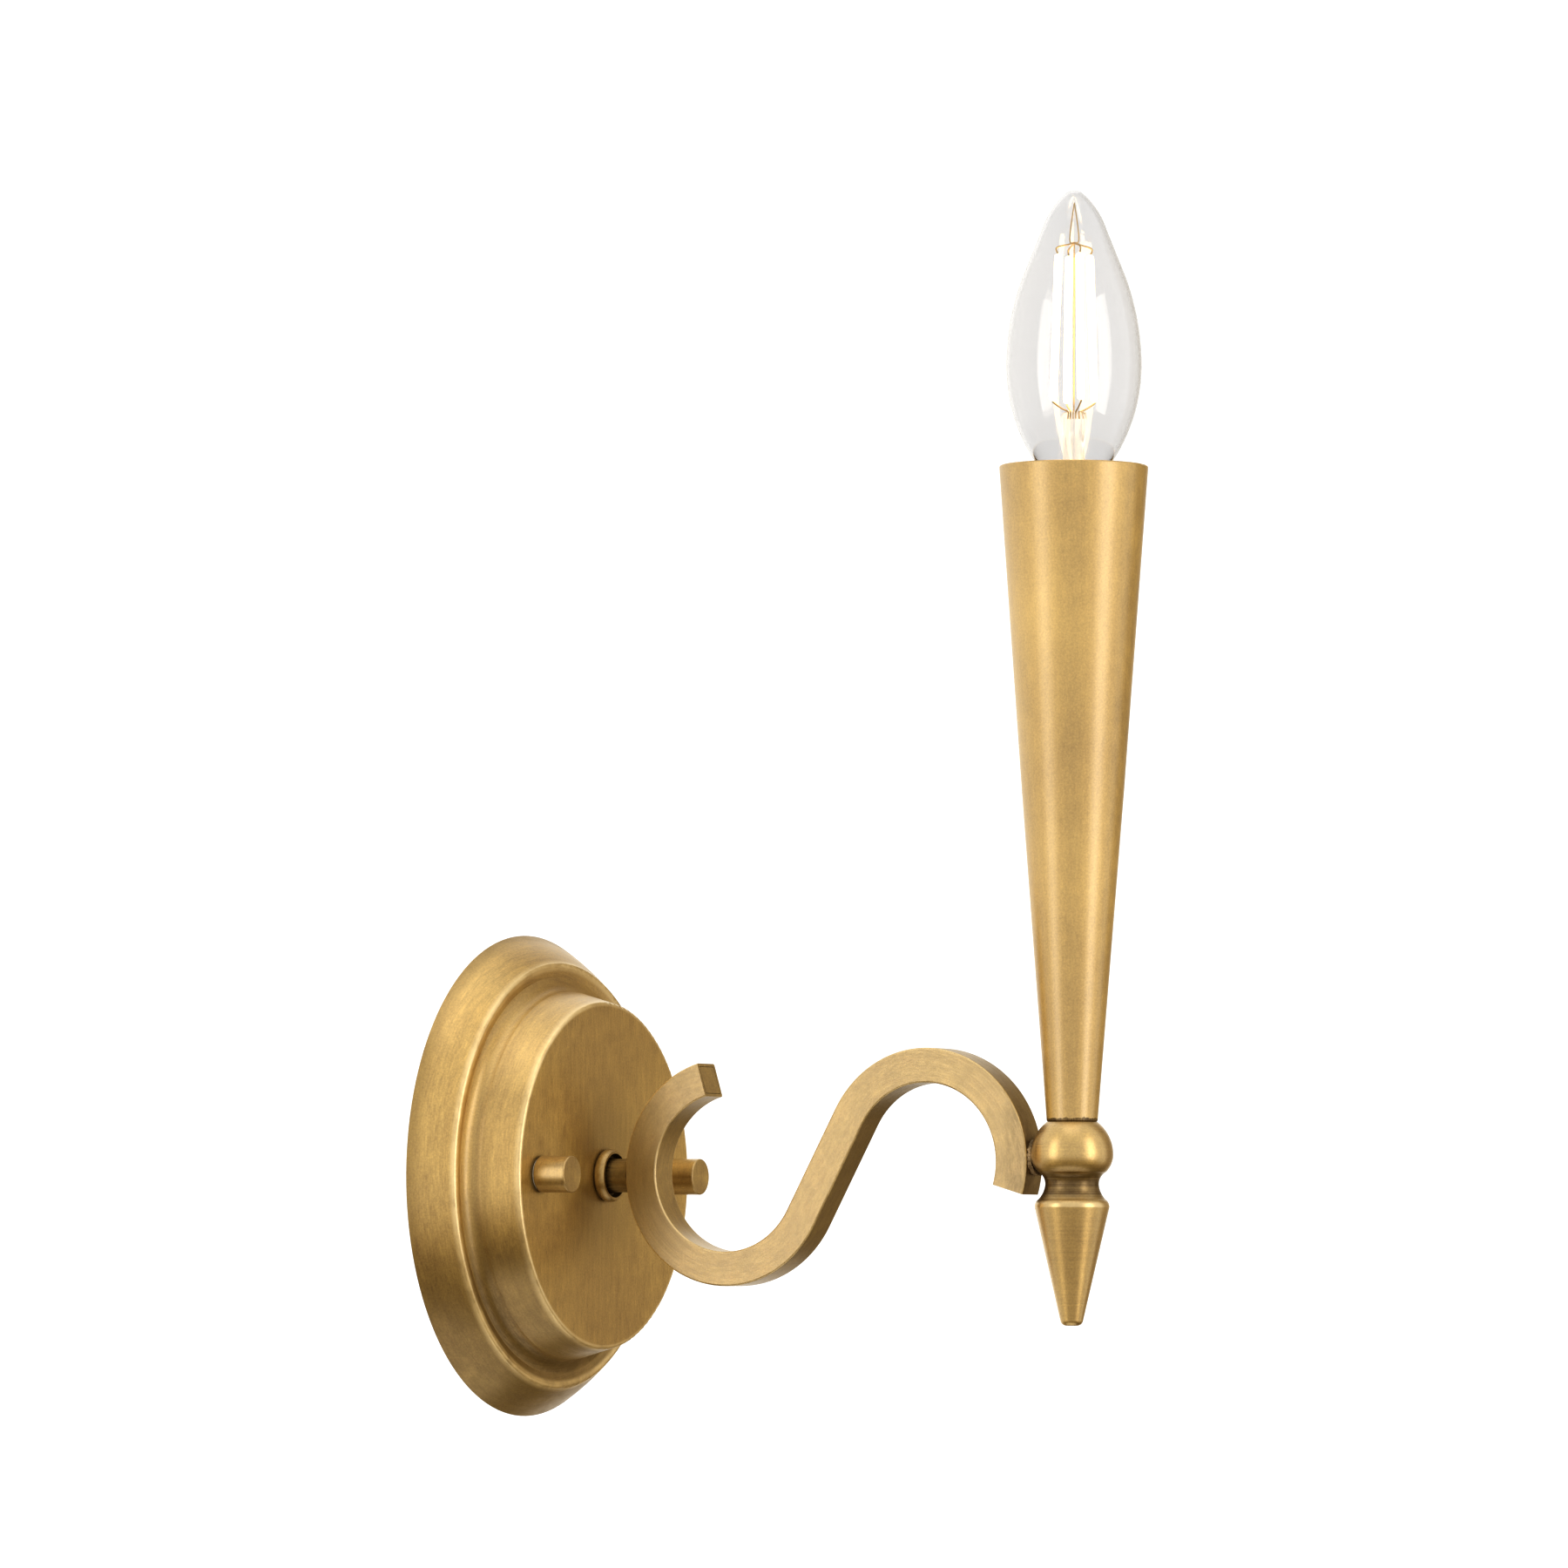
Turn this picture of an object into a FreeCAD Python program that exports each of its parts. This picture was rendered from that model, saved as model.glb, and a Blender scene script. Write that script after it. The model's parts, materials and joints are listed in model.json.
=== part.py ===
import FreeCAD, Part
import math
import os
import Sketcher

# Electric wall sconce in aged brass: a round stepped backplate, an S-shaped square arm,
# a turned ball with a drop finial, and a tall tapered candle cup that holds a small bulb.
#
# Millimetres, +Z up.  The wall is the plane Y = 0 and the sconce stands out along -Y, so a
# "reach" below is a distance from the wall.  The origin is the backplate's centre on the wall.

doc = FreeCAD.newDocument("WallSconce")
sheet = doc.addObject("Spreadsheet::Sheet", "Dims")

X_AXIS = FreeCAD.Vector(1, 0, 0)
Y_AXIS = FreeCAD.Vector(0, 1, 0)
Z_AXIS = FreeCAD.Vector(0, 0, 1)
OUTWARD = FreeCAD.Rotation(X_AXIS, 90)  # turns a local +Z to point away from the wall
SIDEWAYS = FreeCAD.Rotation(Y_AXIS, 90)  # turns a local +Z to point along +X
UPRIGHT = FreeCAD.Rotation()
THROUGH_ALL = 1  # the Type of a pocket that has no end
WIRE_OFFSET = 0.5  # how far a support wire's end stays from the glowing rod it points at


# ---------------------------------------------------------------- sizes

class Size:
    """A number together with the sheet formula that gives it."""

    def __init__(self, value, formula):
        self.value = value
        self.formula = formula

    def joined(self, other, sign, value):
        return Size(value, "(%s %s %s)" % (self.formula, sign, as_size(other).formula))

    def __add__(self, other):
        return self.joined(other, "+", self.value + as_size(other).value)

    def __sub__(self, other):
        return self.joined(other, "-", self.value - as_size(other).value)

    def __mul__(self, other):
        return self.joined(other, "*", self.value * as_size(other).value)

    def __truediv__(self, other):
        return self.joined(other, "/", self.value / as_size(other).value)

    def __neg__(self):
        return Size(-self.value, "(0 - %s)" % self.formula)


def as_size(number):
    """A Size from a Size or from a plain number."""
    if isinstance(number, Size):
        return number
    return Size(float(number), "(%r)" % float(number))


def cosine(degrees):
    """The cosine of an angle in degrees, as a Size."""
    angle = as_size(degrees)
    return Size(math.cos(math.radians(angle.value)), "cos(%s)" % angle.formula)


def sine(degrees):
    """The sine of an angle in degrees, as a Size."""
    angle = as_size(degrees)
    return Size(math.sin(math.radians(angle.value)), "sin(%s)" % angle.formula)


def driving(alias, number, note):
    """Writes one driving dimension to the next row of the sheet and returns it as a Size."""
    driving.row += 1
    sheet.set("A%d" % driving.row, alias)
    sheet.set("B%d" % driving.row, repr(number))
    sheet.set("C%d" % driving.row, note)
    sheet.setAlias("B%d" % driving.row, alias)
    return Size(float(number), "Dims." + alias)


driving.row = 0

# Backplate: a spun shell with a bevelled flange, a ridge, a channel and a raised drum.
plate_radius = driving("PlateRadius", 63.5, "outer radius, a five inch plate")
plate_wall = driving("PlateWall", 1.0, "thickness of the spun shell")
ridge_radius = driving("RidgeRadius", 55.5, "radius of the ridge's crest")
ridge_reach = driving("RidgeReach", 10.35, "reach of the ridge's crest")
ridge_round = driving("RidgeRound", 1.0, "rounding of the ridge")
bevel_bow = driving("BevelBow", 70.0, "radius of the flange bevel's slight bow")
channel_radius = driving("ChannelRadius", 52.4, "radius where the channel ends in the cove")
channel_reach = driving("ChannelReach", 9.6, "reach of the channel's floor")
cove_round = driving("CoveRound", 4.2, "rounding of the cove at the drum's foot")
drum_foot_radius = driving("DrumFootRadius", 48.5, "radius of the drum at its foot")
drum_foot_reach = driving("DrumFootReach", 13.5, "reach where the drum's straight side starts")
drum_radius = driving("DrumRadius", 45.6, "radius of the drum's front edge")
drum_reach = driving("DrumReach", 23.65, "reach of the drum's front face")
drum_round = driving("DrumRound", 0.9, "rounding of the drum's front edge")
stud_spacing = driving("StudSpacing", 69.85, "centre distance of the two mounting studs")
stud_hole_radius = driving("StudHoleRadius", 2.4, "holes in the plate for the studs")

# Crossbar, studs and nuts that hold the plate to a wall box.
bar_length = driving("BarLength", 104.0, "length of the crossbar")
bar_width = driving("BarWidth", 21.0, "width of the crossbar")
bar_thickness = driving("BarThickness", 2.0, "thickness of the crossbar")
bar_corner = driving("BarCorner", 4.0, "corner rounding of the crossbar")
box_spacing = driving("BoxSpacing", 88.9, "centre distance of the slots for the wall box")
slot_length = driving("SlotLength", 12.0, "end to end length of a slot")
slot_radius = driving("SlotRadius", 2.2, "half the width of a slot")
bar_centre_radius = driving("BarCentreRadius", 5.2, "hole in the middle of the crossbar")
thread_gap = driving("ThreadGap", 0.06, "radial clearance between a thread and its nut")
stud_radius = driving("StudRadius", 2.08, "number 8 machine thread")
stud_back = driving("StudBack", 0.1, "reach of the stud's wall end")
stud_reach = driving("StudReach", 30.2, "reach of the stud's free end")
stud_chamfer = driving("StudChamfer", 0.5, "chamfer of the stud's ends")
lock_nut_flats = driving("LockNutFlats", 8.73, "across flats of the studs' lock nuts")
lock_nut_height = driving("LockNutHeight", 3.2, "height of the studs' lock nuts")
cap_nut_radius = driving("CapNutRadius", 4.78, "radius of the barrel cap nuts")
cap_nut_reach = driving("CapNutReach", 33.25, "reach of the barrel nuts' front faces")
cap_nut_round = driving("CapNutRound", 0.35, "rounding of the barrel nuts' rims")
cap_nut_bore_end = driving("CapNutBoreEnd", 31.4, "reach of the end of the blind bore")
cap_washer_radius = driving("CapWasherRadius", 4.3, "radius of the nylon washers")
cap_washer_height = driving("CapWasherHeight", 0.5, "thickness of the nylon washers")
ground_across = driving("GroundAcross", 17.0, "sideways place of the ground screw")
ground_drop = driving("GroundDrop", 5.5, "distance of the ground screw below the centre")
ground_radius = driving("GroundRadius", 1.9, "radius of the ground screw's shank")
ground_head_radius = driving("GroundHeadRadius", 3.8, "radius of the ground screw's head")
ground_head_height = driving("GroundHeadHeight", 2.0, "height of the ground screw's head")
ground_lead_radius = driving("GroundLeadRadius", 0.75, "radius of the bare ground lead")

# Hollow nipple that clamps the arm to the plate, with its ring and neck.
nipple_radius = driving("NippleRadius", 4.0, "outer radius of the hollow nipple")
nipple_bore = driving("NippleBore", 3.0, "bore radius of the hollow nipple")
nipple_back = driving("NippleBack", 15.0, "reach of the nipple's wall end")
nipple_front = driving("NippleFront", 34.2, "reach of the nipple's end in the arm")
canopy_nut_flats = driving("CanopyNutFlats", 13.0, "across flats of the nut in the canopy")
canopy_nut_height = driving("CanopyNutHeight", 4.0, "height of the nut in the canopy")
canopy_washer_radius = driving("CanopyWasherRadius", 7.4, "radius of the washer in the canopy")
canopy_washer_height = driving("CanopyWasherHeight", 0.8, "thickness of the washer in the canopy")
ring_shoulder = driving("RingShoulder", 6.4, "radius of the centre ring's two edges")
ring_length = driving("RingLength", 3.0, "length of the centre ring")
ring_bulge = driving("RingBulge", 2.18, "rounding of the centre ring's outside")
ring_recess = driving("RingRecess", 5.8, "radius of the recess at the recess's mouth")
ring_recess_floor = driving("RingRecessFloor", 5.5, "radius of the recess at its floor")
ring_recess_depth = driving("RingRecessDepth", 2.0, "depth of the recess")
neck_end_radius = driving("NeckEndRadius", 4.75, "radius of the neck at its ends")
neck_hollow = driving("NeckHollow", 30.0, "radius of the neck's hollow outline")
close_gap = driving("CloseGap", 0.04, "gap between two fixed pieces that fit closely")

# Arm: a square tube bent in the plane X = 0, a curl at the wall and an arch at the candle.
arm_width = driving("ArmWidth", 9.5, "width of the arm along X")
arm_depth = driving("ArmDepth", 9.0, "depth of the arm in its own plane")
arm_wall = driving("ArmWall", 0.8, "wall thickness of the arm's tube")
arm_edge_round = driving("ArmEdgeRound", 0.5, "rounding of the arm's long edges")
curl_reach = driving("CurlReach", 61.9, "reach of the curl's centre")
curl_height = driving("CurlHeight", 0.8, "height of the curl's centre")
curl_radius = driving("CurlRadius", 25.2, "centre line radius of the curl")
curl_end_angle = driving("CurlEndAngle", 73.5, "angle of the curl's free end, from +Y")
arch_reach = driving("ArchReach", 120.25, "reach of the arch's centre")
arch_height = driving("ArchHeight", 3.4, "height of the arch's centre")
arch_radius = driving("ArchRadius", 25.0, "centre line radius of the arch")
arch_end_angle = driving("ArchEndAngle", 196.5, "angle of the arch's end, from +Y")
plug_length = driving("PlugLength", 2.0, "length of the plugs in the arm's ends")
plug_gap = driving("PlugGap", 0.12, "gap between a plug and the bent tube")

# Candle stem: ball, finial, hollow threaded rod.
candle_reach = driving("CandleReach", 160.44, "reach of the candle's axis")
ball_height = driving("BallHeight", 5.3, "height of the ball's centre")
ball_radius = driving("BallRadius", 10.58, "radius of the ball")
ball_seat_height = driving("BallSeatHeight", 13.76, "height of the ball's flat top")
ball_seat_radius = driving("BallSeatRadius", 6.353, "radius of the ball's flat top")
ball_under_round = driving("BallUnderRound", 6.2, "rounding under the ball's middle")
ball_cove_radius = driving("BallCoveRadius", 8.71, "radius where the ball turns into the cove")
ball_cove_height = driving("BallCoveHeight", 0.86, "height where the ball turns into the cove")
ball_cove_round = driving("BallCoveRound", 3.6, "rounding of the cove under the ball")
waist_height = driving("WaistHeight", -2.48, "height of the joint of ball and finial")
waist_radius = driving("WaistRadius", 6.87, "radius at the joint of ball and finial")
finial_cove_radius = driving("FinialCoveRadius", 8.6, "radius where the finial's cove ends")
finial_cove_height = driving("FinialCoveHeight", -6.2, "height where the finial's cove ends")
finial_cove_round = driving("FinialCoveRound", 6.5, "rounding of the finial's cove")
finial_radius = driving("FinialRadius", 9.6, "largest radius of the finial")
finial_edge_height = driving("FinialEdgeHeight", -8.2, "height of the finial's widest edge")
finial_edge_round = driving("FinialEdgeRound", 2.2, "rounding of the finial's widest edge")
finial_flat = driving("FinialFlat", 1.344, "radius of the flat end of the finial's tip")
finial_tip_round = driving("FinialTipRound", 1.6, "rounding of the tip's edge")
finial_draft = driving("FinialDraft", 13.0, "draft angle of the finial's long cone")
finial_bottom = driving("FinialBottom", -38.54, "height of the finial's lowest point")
rod_radius = driving("RodRadius", 4.0, "outer radius of the hollow rod")
rod_bore = driving("RodBore", 2.9, "bore radius of the hollow rod")
rod_bottom = driving("RodBottom", -11.5, "height of the rod's lower end")
rod_top = driving("RodTop", 132.5, "height of the rod's upper end")
rod_hole_end = driving("RodHoleEnd", -12.5, "height of the end of the finial's blind hole")
lead_hole_height = driving("LeadHoleHeight", 4.5, "height of the leads' way from arm to rod")
lead_hole_radius = driving("LeadHoleRadius", 2.25, "radius of the leads' way from arm to rod")
braze_radius = driving("BrazeRadius", 4.4, "radius of the brazed joint of arm and ball")
braze_length = driving("BrazeLength", 3.4, "length of the brazed joint along Y")

# Candle cup and what clamps it.
cup_bottom_radius = driving("CupBottomRadius", 6.56, "outer radius of the cup's bottom")
cup_middle_radius = driving("CupMiddleRadius", 13.1, "outer radius halfway up")
cup_rim_radius = driving("CupRimRadius", 19.17, "outer radius of the rim")
cup_rim_height = driving("CupRimHeight", 182.37, "height of the rim")
cup_wall = driving("CupWall", 0.9, "wall thickness of the cup")
cup_foot_round = driving("CupFootRound", 0.4, "rounding of the cup's bottom edge")
cup_washer_radius = driving("CupWasherRadius", 5.2, "radius of the washer in the cup")
cup_washer_height = driving("CupWasherHeight", 0.6, "thickness of the washer in the cup")
cup_nut_height = driving("CupNutHeight", 3.2, "height of the slotted round nut in the cup")
cup_nut_slot = driving("CupNutSlot", 1.2, "width and depth of the round nut's slot")

# Socket on top of the rod.
strap_height = driving("StrapHeight", 129.4, "height of the strap's underside")
strap_thickness = driving("StrapThickness", 1.2, "thickness of the strap")
strap_width = driving("StrapWidth", 9.0, "width of the strap")
strap_leg = driving("StrapLeg", 17.5, "length of the strap's upright leg")
strap_tail = driving("StrapTail", 7.0, "how far the strap passes the rod's axis")
rod_nut_flats = driving("RodNutFlats", 12.0, "across flats of the nut under the strap")
rod_nut_height = driving("RodNutHeight", 3.5, "height of the nut under the strap")
socket_radius = driving("SocketRadius", 10.4, "outer radius of the socket's body")
socket_bottom = driving("SocketBottom", 133.5, "height of the socket's lower end")
socket_top = driving("SocketTop", 171.0, "height of the socket's mouth")
socket_floor = driving("SocketFloor", 149.0, "height of the underside of the socket's floor")
socket_floor_thickness = driving("SocketFloorThickness", 3.0, "thickness of the socket's floor")
socket_cavity = driving("SocketCavity", 8.2, "radius of the cavity below the floor")
socket_bore = driving("SocketBore", 6.9, "radius of the bore that holds the screw shell")
shell_wall = driving("ShellWall", 0.45, "wall of the socket's screw shell")
shell_gap = driving("ShellGap", 0.1, "radial clearance between the bulb's cap and the shell")
shell_bottom = driving("ShellBottom", 153.6, "height of the screw shell's lower end")
shell_top = driving("ShellTop", 170.4, "height of the screw shell's upper end")
contact_width = driving("ContactWidth", 4.0, "width of the socket's centre contact")
contact_length = driving("ContactLength", 9.6, "length of the socket's centre contact")
contact_thickness = driving("ContactThickness", 0.4, "thickness of the centre contact")
contact_rise = driving("ContactRise", 3.3, "height of the centre contact's hump")
rivet_radius = driving("RivetRadius", 0.9, "radius of the terminal rivets")
rivet_head_radius = driving("RivetHeadRadius", 1.6, "radius of the terminal rivets' heads")
rivet_head_height = driving("RivetHeadHeight", 0.6, "height of the terminal rivets' heads")
rivet_across = driving("RivetAcross", 3.8, "distance of a terminal rivet from the axis")
strap_screw_height = driving("StrapScrewHeight", 141.5, "height of the strap's screw")
strap_screw_radius = driving("StrapScrewRadius", 1.2, "radius of the strap's screw")
strap_screw_head = driving("StrapScrewHead", 2.2, "radius of the strap screw's head")

# Leads: two insulated wires from the canopy through nipple, arm, ball and rod to the socket.
lead_radius = driving("LeadRadius", 1.0, "radius of an insulated lead")
lead_across = driving("LeadAcross", 1.06, "distance of each lead from the plane X = 0")
lead_canopy_reach = driving("LeadCanopyReach", 8.0, "reach of the leads inside the canopy")
lead_tail_across = driving("LeadTailAcross", 27.0, "sideways place of a lead's free end")
lead_tail_rise = driving("LeadTailRise", 6.5, "height of a lead's free end")

# Bulb: a clear candle bulb with glowing rods, a glass stem and a small screw cap.
bulb_top = driving("BulbTop", 253.69, "height of the bulb's tip")
bulb_radius = driving("BulbRadius", 17.5, "largest radius of the glass")
bulb_wide_height = driving("BulbWideHeight", 208.2, "height of the largest radius")
shoulder_radius = driving("ShoulderRadius", 8.64, "radius where the glass's belly meets its neck")
shoulder_height = driving("ShoulderHeight", 181.5, "height where the glass's belly meets its neck")
shoulder_facing = driving("ShoulderFacing", -36.7, "direction that the glass faces there")
flank_low_radius = driving("FlankLowRadius", 12.66, "radius where the straight flank starts")
flank_low_height = driving("FlankLowHeight", 233.0, "height where the straight flank starts")
flank_high_radius = driving("FlankHighRadius", 8.2, "radius where the straight flank ends")
flank_high_height = driving("FlankHighHeight", 244.0, "height where the straight flank ends")
flank_facing = driving("FlankFacing", 22.1, "direction that the straight flank faces")
neck_round = driving("NeckRound", 11.8, "rounding of the glass's neck")
belly_round = driving("BellyRound", 44.67, "rounding of the glass's lower belly")
flank_round = driving("FlankRound", 66.0, "rounding of the glass's upper belly")
nose_round = driving("NoseRound", 20.0, "rounding of the glass's nose")
glass_tip_round = driving("GlassTipRound", 3.46, "rounding of the glass's tip")
glass_tip_facing = driving("GlassTipFacing", 50.5, "direction that the glass faces at its tip's edge")
glass_wall = driving("GlassWall", 0.7, "thickness of the glass")
glass_neck_radius = driving("GlassNeckRadius", 6.3, "radius of the glass at its neck")
glass_neck_height = driving("GlassNeckHeight", 174.6, "height where the glass's neck is straight")
glass_bottom = driving("GlassBottom", 168.0, "height of the glass's lower end, in the cap")
glass_seat_radius = driving("GlassSeatRadius", 5.3, "radius of the glass inside the cap")
cap_radius = driving("CapRadius", 5.95, "outer radius of the bulb's screw cap")
cap_wall = driving("CapWall", 0.4, "wall of the bulb's screw cap")
cap_bottom = driving("CapBottom", 158.6, "height of the screw cap's lower end")
cap_top = driving("CapTop", 173.6, "height of the screw cap's upper end")
insulator_bottom = driving("InsulatorBottom", 156.6, "height of the insulator's lower end")
insulator_radius = driving("InsulatorRadius", 3.3, "radius of the insulator's lower end")
tip_radius = driving("TipRadius", 2.3, "radius of the bulb's centre contact")
tip_bottom = driving("TipBottom", 155.7, "height of the bulb's lowest point")
glow_length = driving("GlowLength", 38.0, "length of a glowing rod")
glow_radius = driving("GlowRadius", 0.75, "radius of a glowing rod")
glow_low_circle = driving("GlowLowCircle", 5.6, "distance of the rods' lower ends from the axis")
glow_lean = driving("GlowLean", 2.0, "lean of a glowing rod in degrees")
glow_bottom = driving("GlowBottom", 199.0, "height of the rods' lower ends")
glass_stem_top = driving("GlassStemTop", 196.5, "height of the glass stem's top")
glass_stem_radius = driving("GlassStemRadius", 2.9, "radius of the glass stem")
glass_stem_foot = driving("GlassStemFoot", 4.4, "radius of the glass stem's flared foot")
support_hub = driving("SupportHub", 243.0, "height where the upper support wires meet")
support_top = driving("SupportTop", 249.5, "height of the mast wire's upper end")
support_radius = driving("SupportRadius", 0.25, "radius of the bulb's support wires")

doc.recompute()

candle_y = -candle_reach
arm_half_depth = arm_depth / 2
arm_half_width = arm_width / 2
tube_half_depth = arm_half_depth - arm_wall
half_spacing = stud_spacing / 2
SIDES = (("left", -1), ("right", 1))


# ---------------------------------------------------------------- helpers

def point(across, up):
    """A sketch point from two sizes."""
    return FreeCAD.Vector(as_size(across).value, as_size(up).value, 0)


def place(piece, across=0, along=0, up=0, rotation=UPRIGHT):
    """Puts a piece at a place whose three coordinates follow the sheet."""
    piece.Placement = FreeCAD.Placement(FreeCAD.Vector(0, 0, 0), rotation)
    for axis, size in (("x", across), ("y", along), ("z", up)):
        piece.setExpression("Placement.Base." + axis, as_size(size).formula)


def bind(piece, **sizes):
    """Binds properties of a piece to sizes."""
    for name, size in sizes.items():
        piece.setExpression(name, as_size(size).formula)


def new_body(label):
    """An empty body whose label names its sub-part."""
    body = doc.addObject("PartDesign::Body", "Body_" + label)
    body.Label = label
    return body


def new_sketch(body, name, role):
    """A sketch on one of the body's own origin planes."""
    sketch = body.newObject("Sketcher::SketchObject", name)
    planes = [plane for plane in body.Origin.OriginFeatures if plane.Role == role]
    sketch.AttachmentSupport = [(planes[0], "")]
    sketch.MapMode = "FlatFace"
    return sketch


def pin(sketch, kind, edge, end, size):
    """Fixes one coordinate of an edge's end, measured from the sketch's origin."""
    number = sketch.addConstraint(Sketcher.Constraint(kind, -1, 1, edge, end, size.value))
    sketch.setExpression("Constraints[%d]" % number, size.formula)


def arc_between(start, finish, radius):
    """The short arc between two points; a positive radius turns left, a negative one right."""
    chord = finish - start
    middle = (start + finish) * 0.5
    rise = math.sqrt(max(radius * radius - chord.Length * chord.Length / 4, 0))
    left = FreeCAD.Vector(-chord.y, chord.x, 0).normalize()
    centre = middle + left * math.copysign(rise, radius)
    first, last = (start, finish) if radius > 0 else (finish, start)
    turn_from = math.atan2(first.y - centre.y, first.x - centre.x)
    turn_to = math.atan2(last.y - centre.y, last.x - centre.x)
    circle = Part.Circle(centre, Z_AXIS, abs(radius))
    return Part.ArcOfCircle(circle, turn_from, turn_to)


def draw_outline(sketch, outline):
    """Draws a closed outline.

    Each corner is (across, up), or (across, up, radius) where an arc leads to the next corner.
    """
    edges = []
    for number, corner in enumerate(outline):
        following = outline[(number + 1) % len(outline)]
        start = point(corner[0], corner[1])
        finish = point(following[0], following[1])
        if len(corner) == 2:
            edge = sketch.addGeometry(Part.LineSegment(start, finish), False)
            edges.append((edge, 1, 2))
            continue
        radius = as_size(corner[2])
        edge = sketch.addGeometry(arc_between(start, finish, radius.value), False)
        edges.append((edge, 1, 2) if radius.value > 0 else (edge, 2, 1))
        length = radius if radius.value > 0 else -radius
        bound = sketch.addConstraint(Sketcher.Constraint("Radius", edge, length.value))
        sketch.setExpression("Constraints[%d]" % bound, length.formula)
    for number, (edge, first, last) in enumerate(edges):
        following, start_of_next, end_of_next = edges[(number + 1) % len(edges)]
        sketch.addConstraint(Sketcher.Constraint("Coincident", edge, last, following, start_of_next))
        pin(sketch, "DistanceX", edge, first, as_size(outline[number][0]))
        pin(sketch, "DistanceY", edge, first, as_size(outline[number][1]))


def draw_circle(sketch, across, up, radius):
    """Draws a circle whose place and radius follow the sheet."""
    circle = Part.Circle(point(across, up), Z_AXIS, as_size(radius).value)
    edge = sketch.addGeometry(circle, False)
    bound = sketch.addConstraint(Sketcher.Constraint("Radius", edge, as_size(radius).value))
    sketch.setExpression("Constraints[%d]" % bound, as_size(radius).formula)
    pin(sketch, "DistanceX", edge, 3, as_size(across))
    pin(sketch, "DistanceY", edge, 3, as_size(up))


def turned(label, outline):
    """A body made by turning an outline of (radius, height) corners about its local Z."""
    body = new_body(label)
    sketch = new_sketch(body, label + "_outline", "XZ_Plane")
    draw_outline(sketch, outline)
    revolution = body.newObject("PartDesign::Revolution", label + "_turned")
    revolution.Profile = sketch
    revolution.ReferenceAxis = (sketch, ["V_Axis"])
    revolution.Angle = 360
    return body


def tube_outline(outer, inner, bottom, top):
    """The outline of a plain ring or tube."""
    return [(inner, bottom), (outer, bottom), (outer, top), (inner, top)]


def padded(label, outlines, length, role="XY_Plane", centred=False):
    """A body made by padding closed outlines."""
    body = new_body(label)
    sketch = new_sketch(body, label + "_outline", role)
    for outline in outlines:
        draw_outline(sketch, outline)
    pad = body.newObject("PartDesign::Pad", label + "_pad")
    pad.Profile = sketch
    pad.Midplane = centred
    bind(pad, Length=length)
    return body


def pocket(body, name, circles=(), outlines=(), role="XY_Plane", length=None):
    """Cuts circles and outlines out of a body, right through or to a centred length."""
    doc.recompute()
    before = body.Shape.Volume
    sketch = new_sketch(body, name + "_outline", role)
    for across, up, radius in circles:
        draw_circle(sketch, across, up, radius)
    for outline in outlines:
        draw_outline(sketch, outline)
    cut = body.newObject("PartDesign::Pocket", name)
    cut.Profile = sketch
    cut.Midplane = True
    if length is None:
        cut.Type = THROUGH_ALL
    else:
        bind(cut, Length=length)
    doc.recompute()
    if body.Shape.Volume > before - 0.01:
        raise RuntimeError("the pocket %s removes nothing" % name)


def cylinder(name, radius, length, across=0, along=0, up=0, rotation=UPRIGHT):
    """A cylinder that follows the sheet."""
    piece = doc.addObject("Part::Cylinder", name)
    bind(piece, Radius=radius, Height=length)
    place(piece, across, along, up, rotation)
    return piece


def cut_away(label, base, tools):
    """One piece with others cut away."""
    piece = base
    for number, tool in enumerate(tools):
        cut = doc.addObject("Part::Cut", "%s_cut_%d" % (label, number))
        cut.Base = piece
        cut.Tool = tool
        piece = cut
    piece.Label = label
    return piece


def hex_nut(label, flats, bore, height, across=0, along=0, up=0, rotation=UPRIGHT):
    """A hexagon nut with its corners turned off, threaded hole left plain."""
    flats_radius = flats / 2
    corner_radius = flats_radius / cosine(30)
    prism = doc.addObject("Part::Prism", label + "_prism")
    prism.Polygon = 6
    bind(prism, Circumradius=corner_radius, Height=height)
    turned_off = doc.addObject("Part::Cone", label + "_cone")
    bind(turned_off, Radius1=corner_radius + height * 0.5, Radius2=corner_radius * 0.93, Height=height)
    common = doc.addObject("Part::Common", label + "_blank")
    common.Base = prism
    common.Tool = turned_off
    hole = cylinder(label + "_hole", bore, height)
    nut = cut_away(label, common, [hole])
    place(nut, across, along, up, rotation)
    return nut


def group(label, pieces):
    """Separate solids that share one name."""
    compound = doc.addObject("Part::Compound", label + "_group")
    compound.Links = pieces
    compound.Label = label
    return compound


def rounded_path(corners):
    """Straight runs joined by tangent arcs, from a list of (point, radius) corners."""
    edges = []
    run_start = corners[0][0]
    for number in range(1, len(corners) - 1):
        corner, radius = corners[number]
        back = (corners[number - 1][0] - corner).normalize()
        ahead = (corners[number + 1][0] - corner).normalize()
        half_turn = (math.pi - back.getAngle(ahead)) / 2
        arc_start = corner + back * (radius * math.tan(half_turn))
        arc_finish = corner + ahead * (radius * math.tan(half_turn))
        inward = (back + ahead).normalize()
        arc_middle = corner + inward * (radius / math.cos(half_turn) - radius)
        if (arc_start - run_start).Length > 1e-4:
            edges.append(Part.LineSegment(run_start, arc_start).toShape())
        edges.append(Part.Arc(arc_start, arc_middle, arc_finish).toShape())
        run_start = arc_finish
    edges.append(Part.LineSegment(run_start, corners[-1][0]).toShape())
    return Part.Wire(edges)


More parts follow.
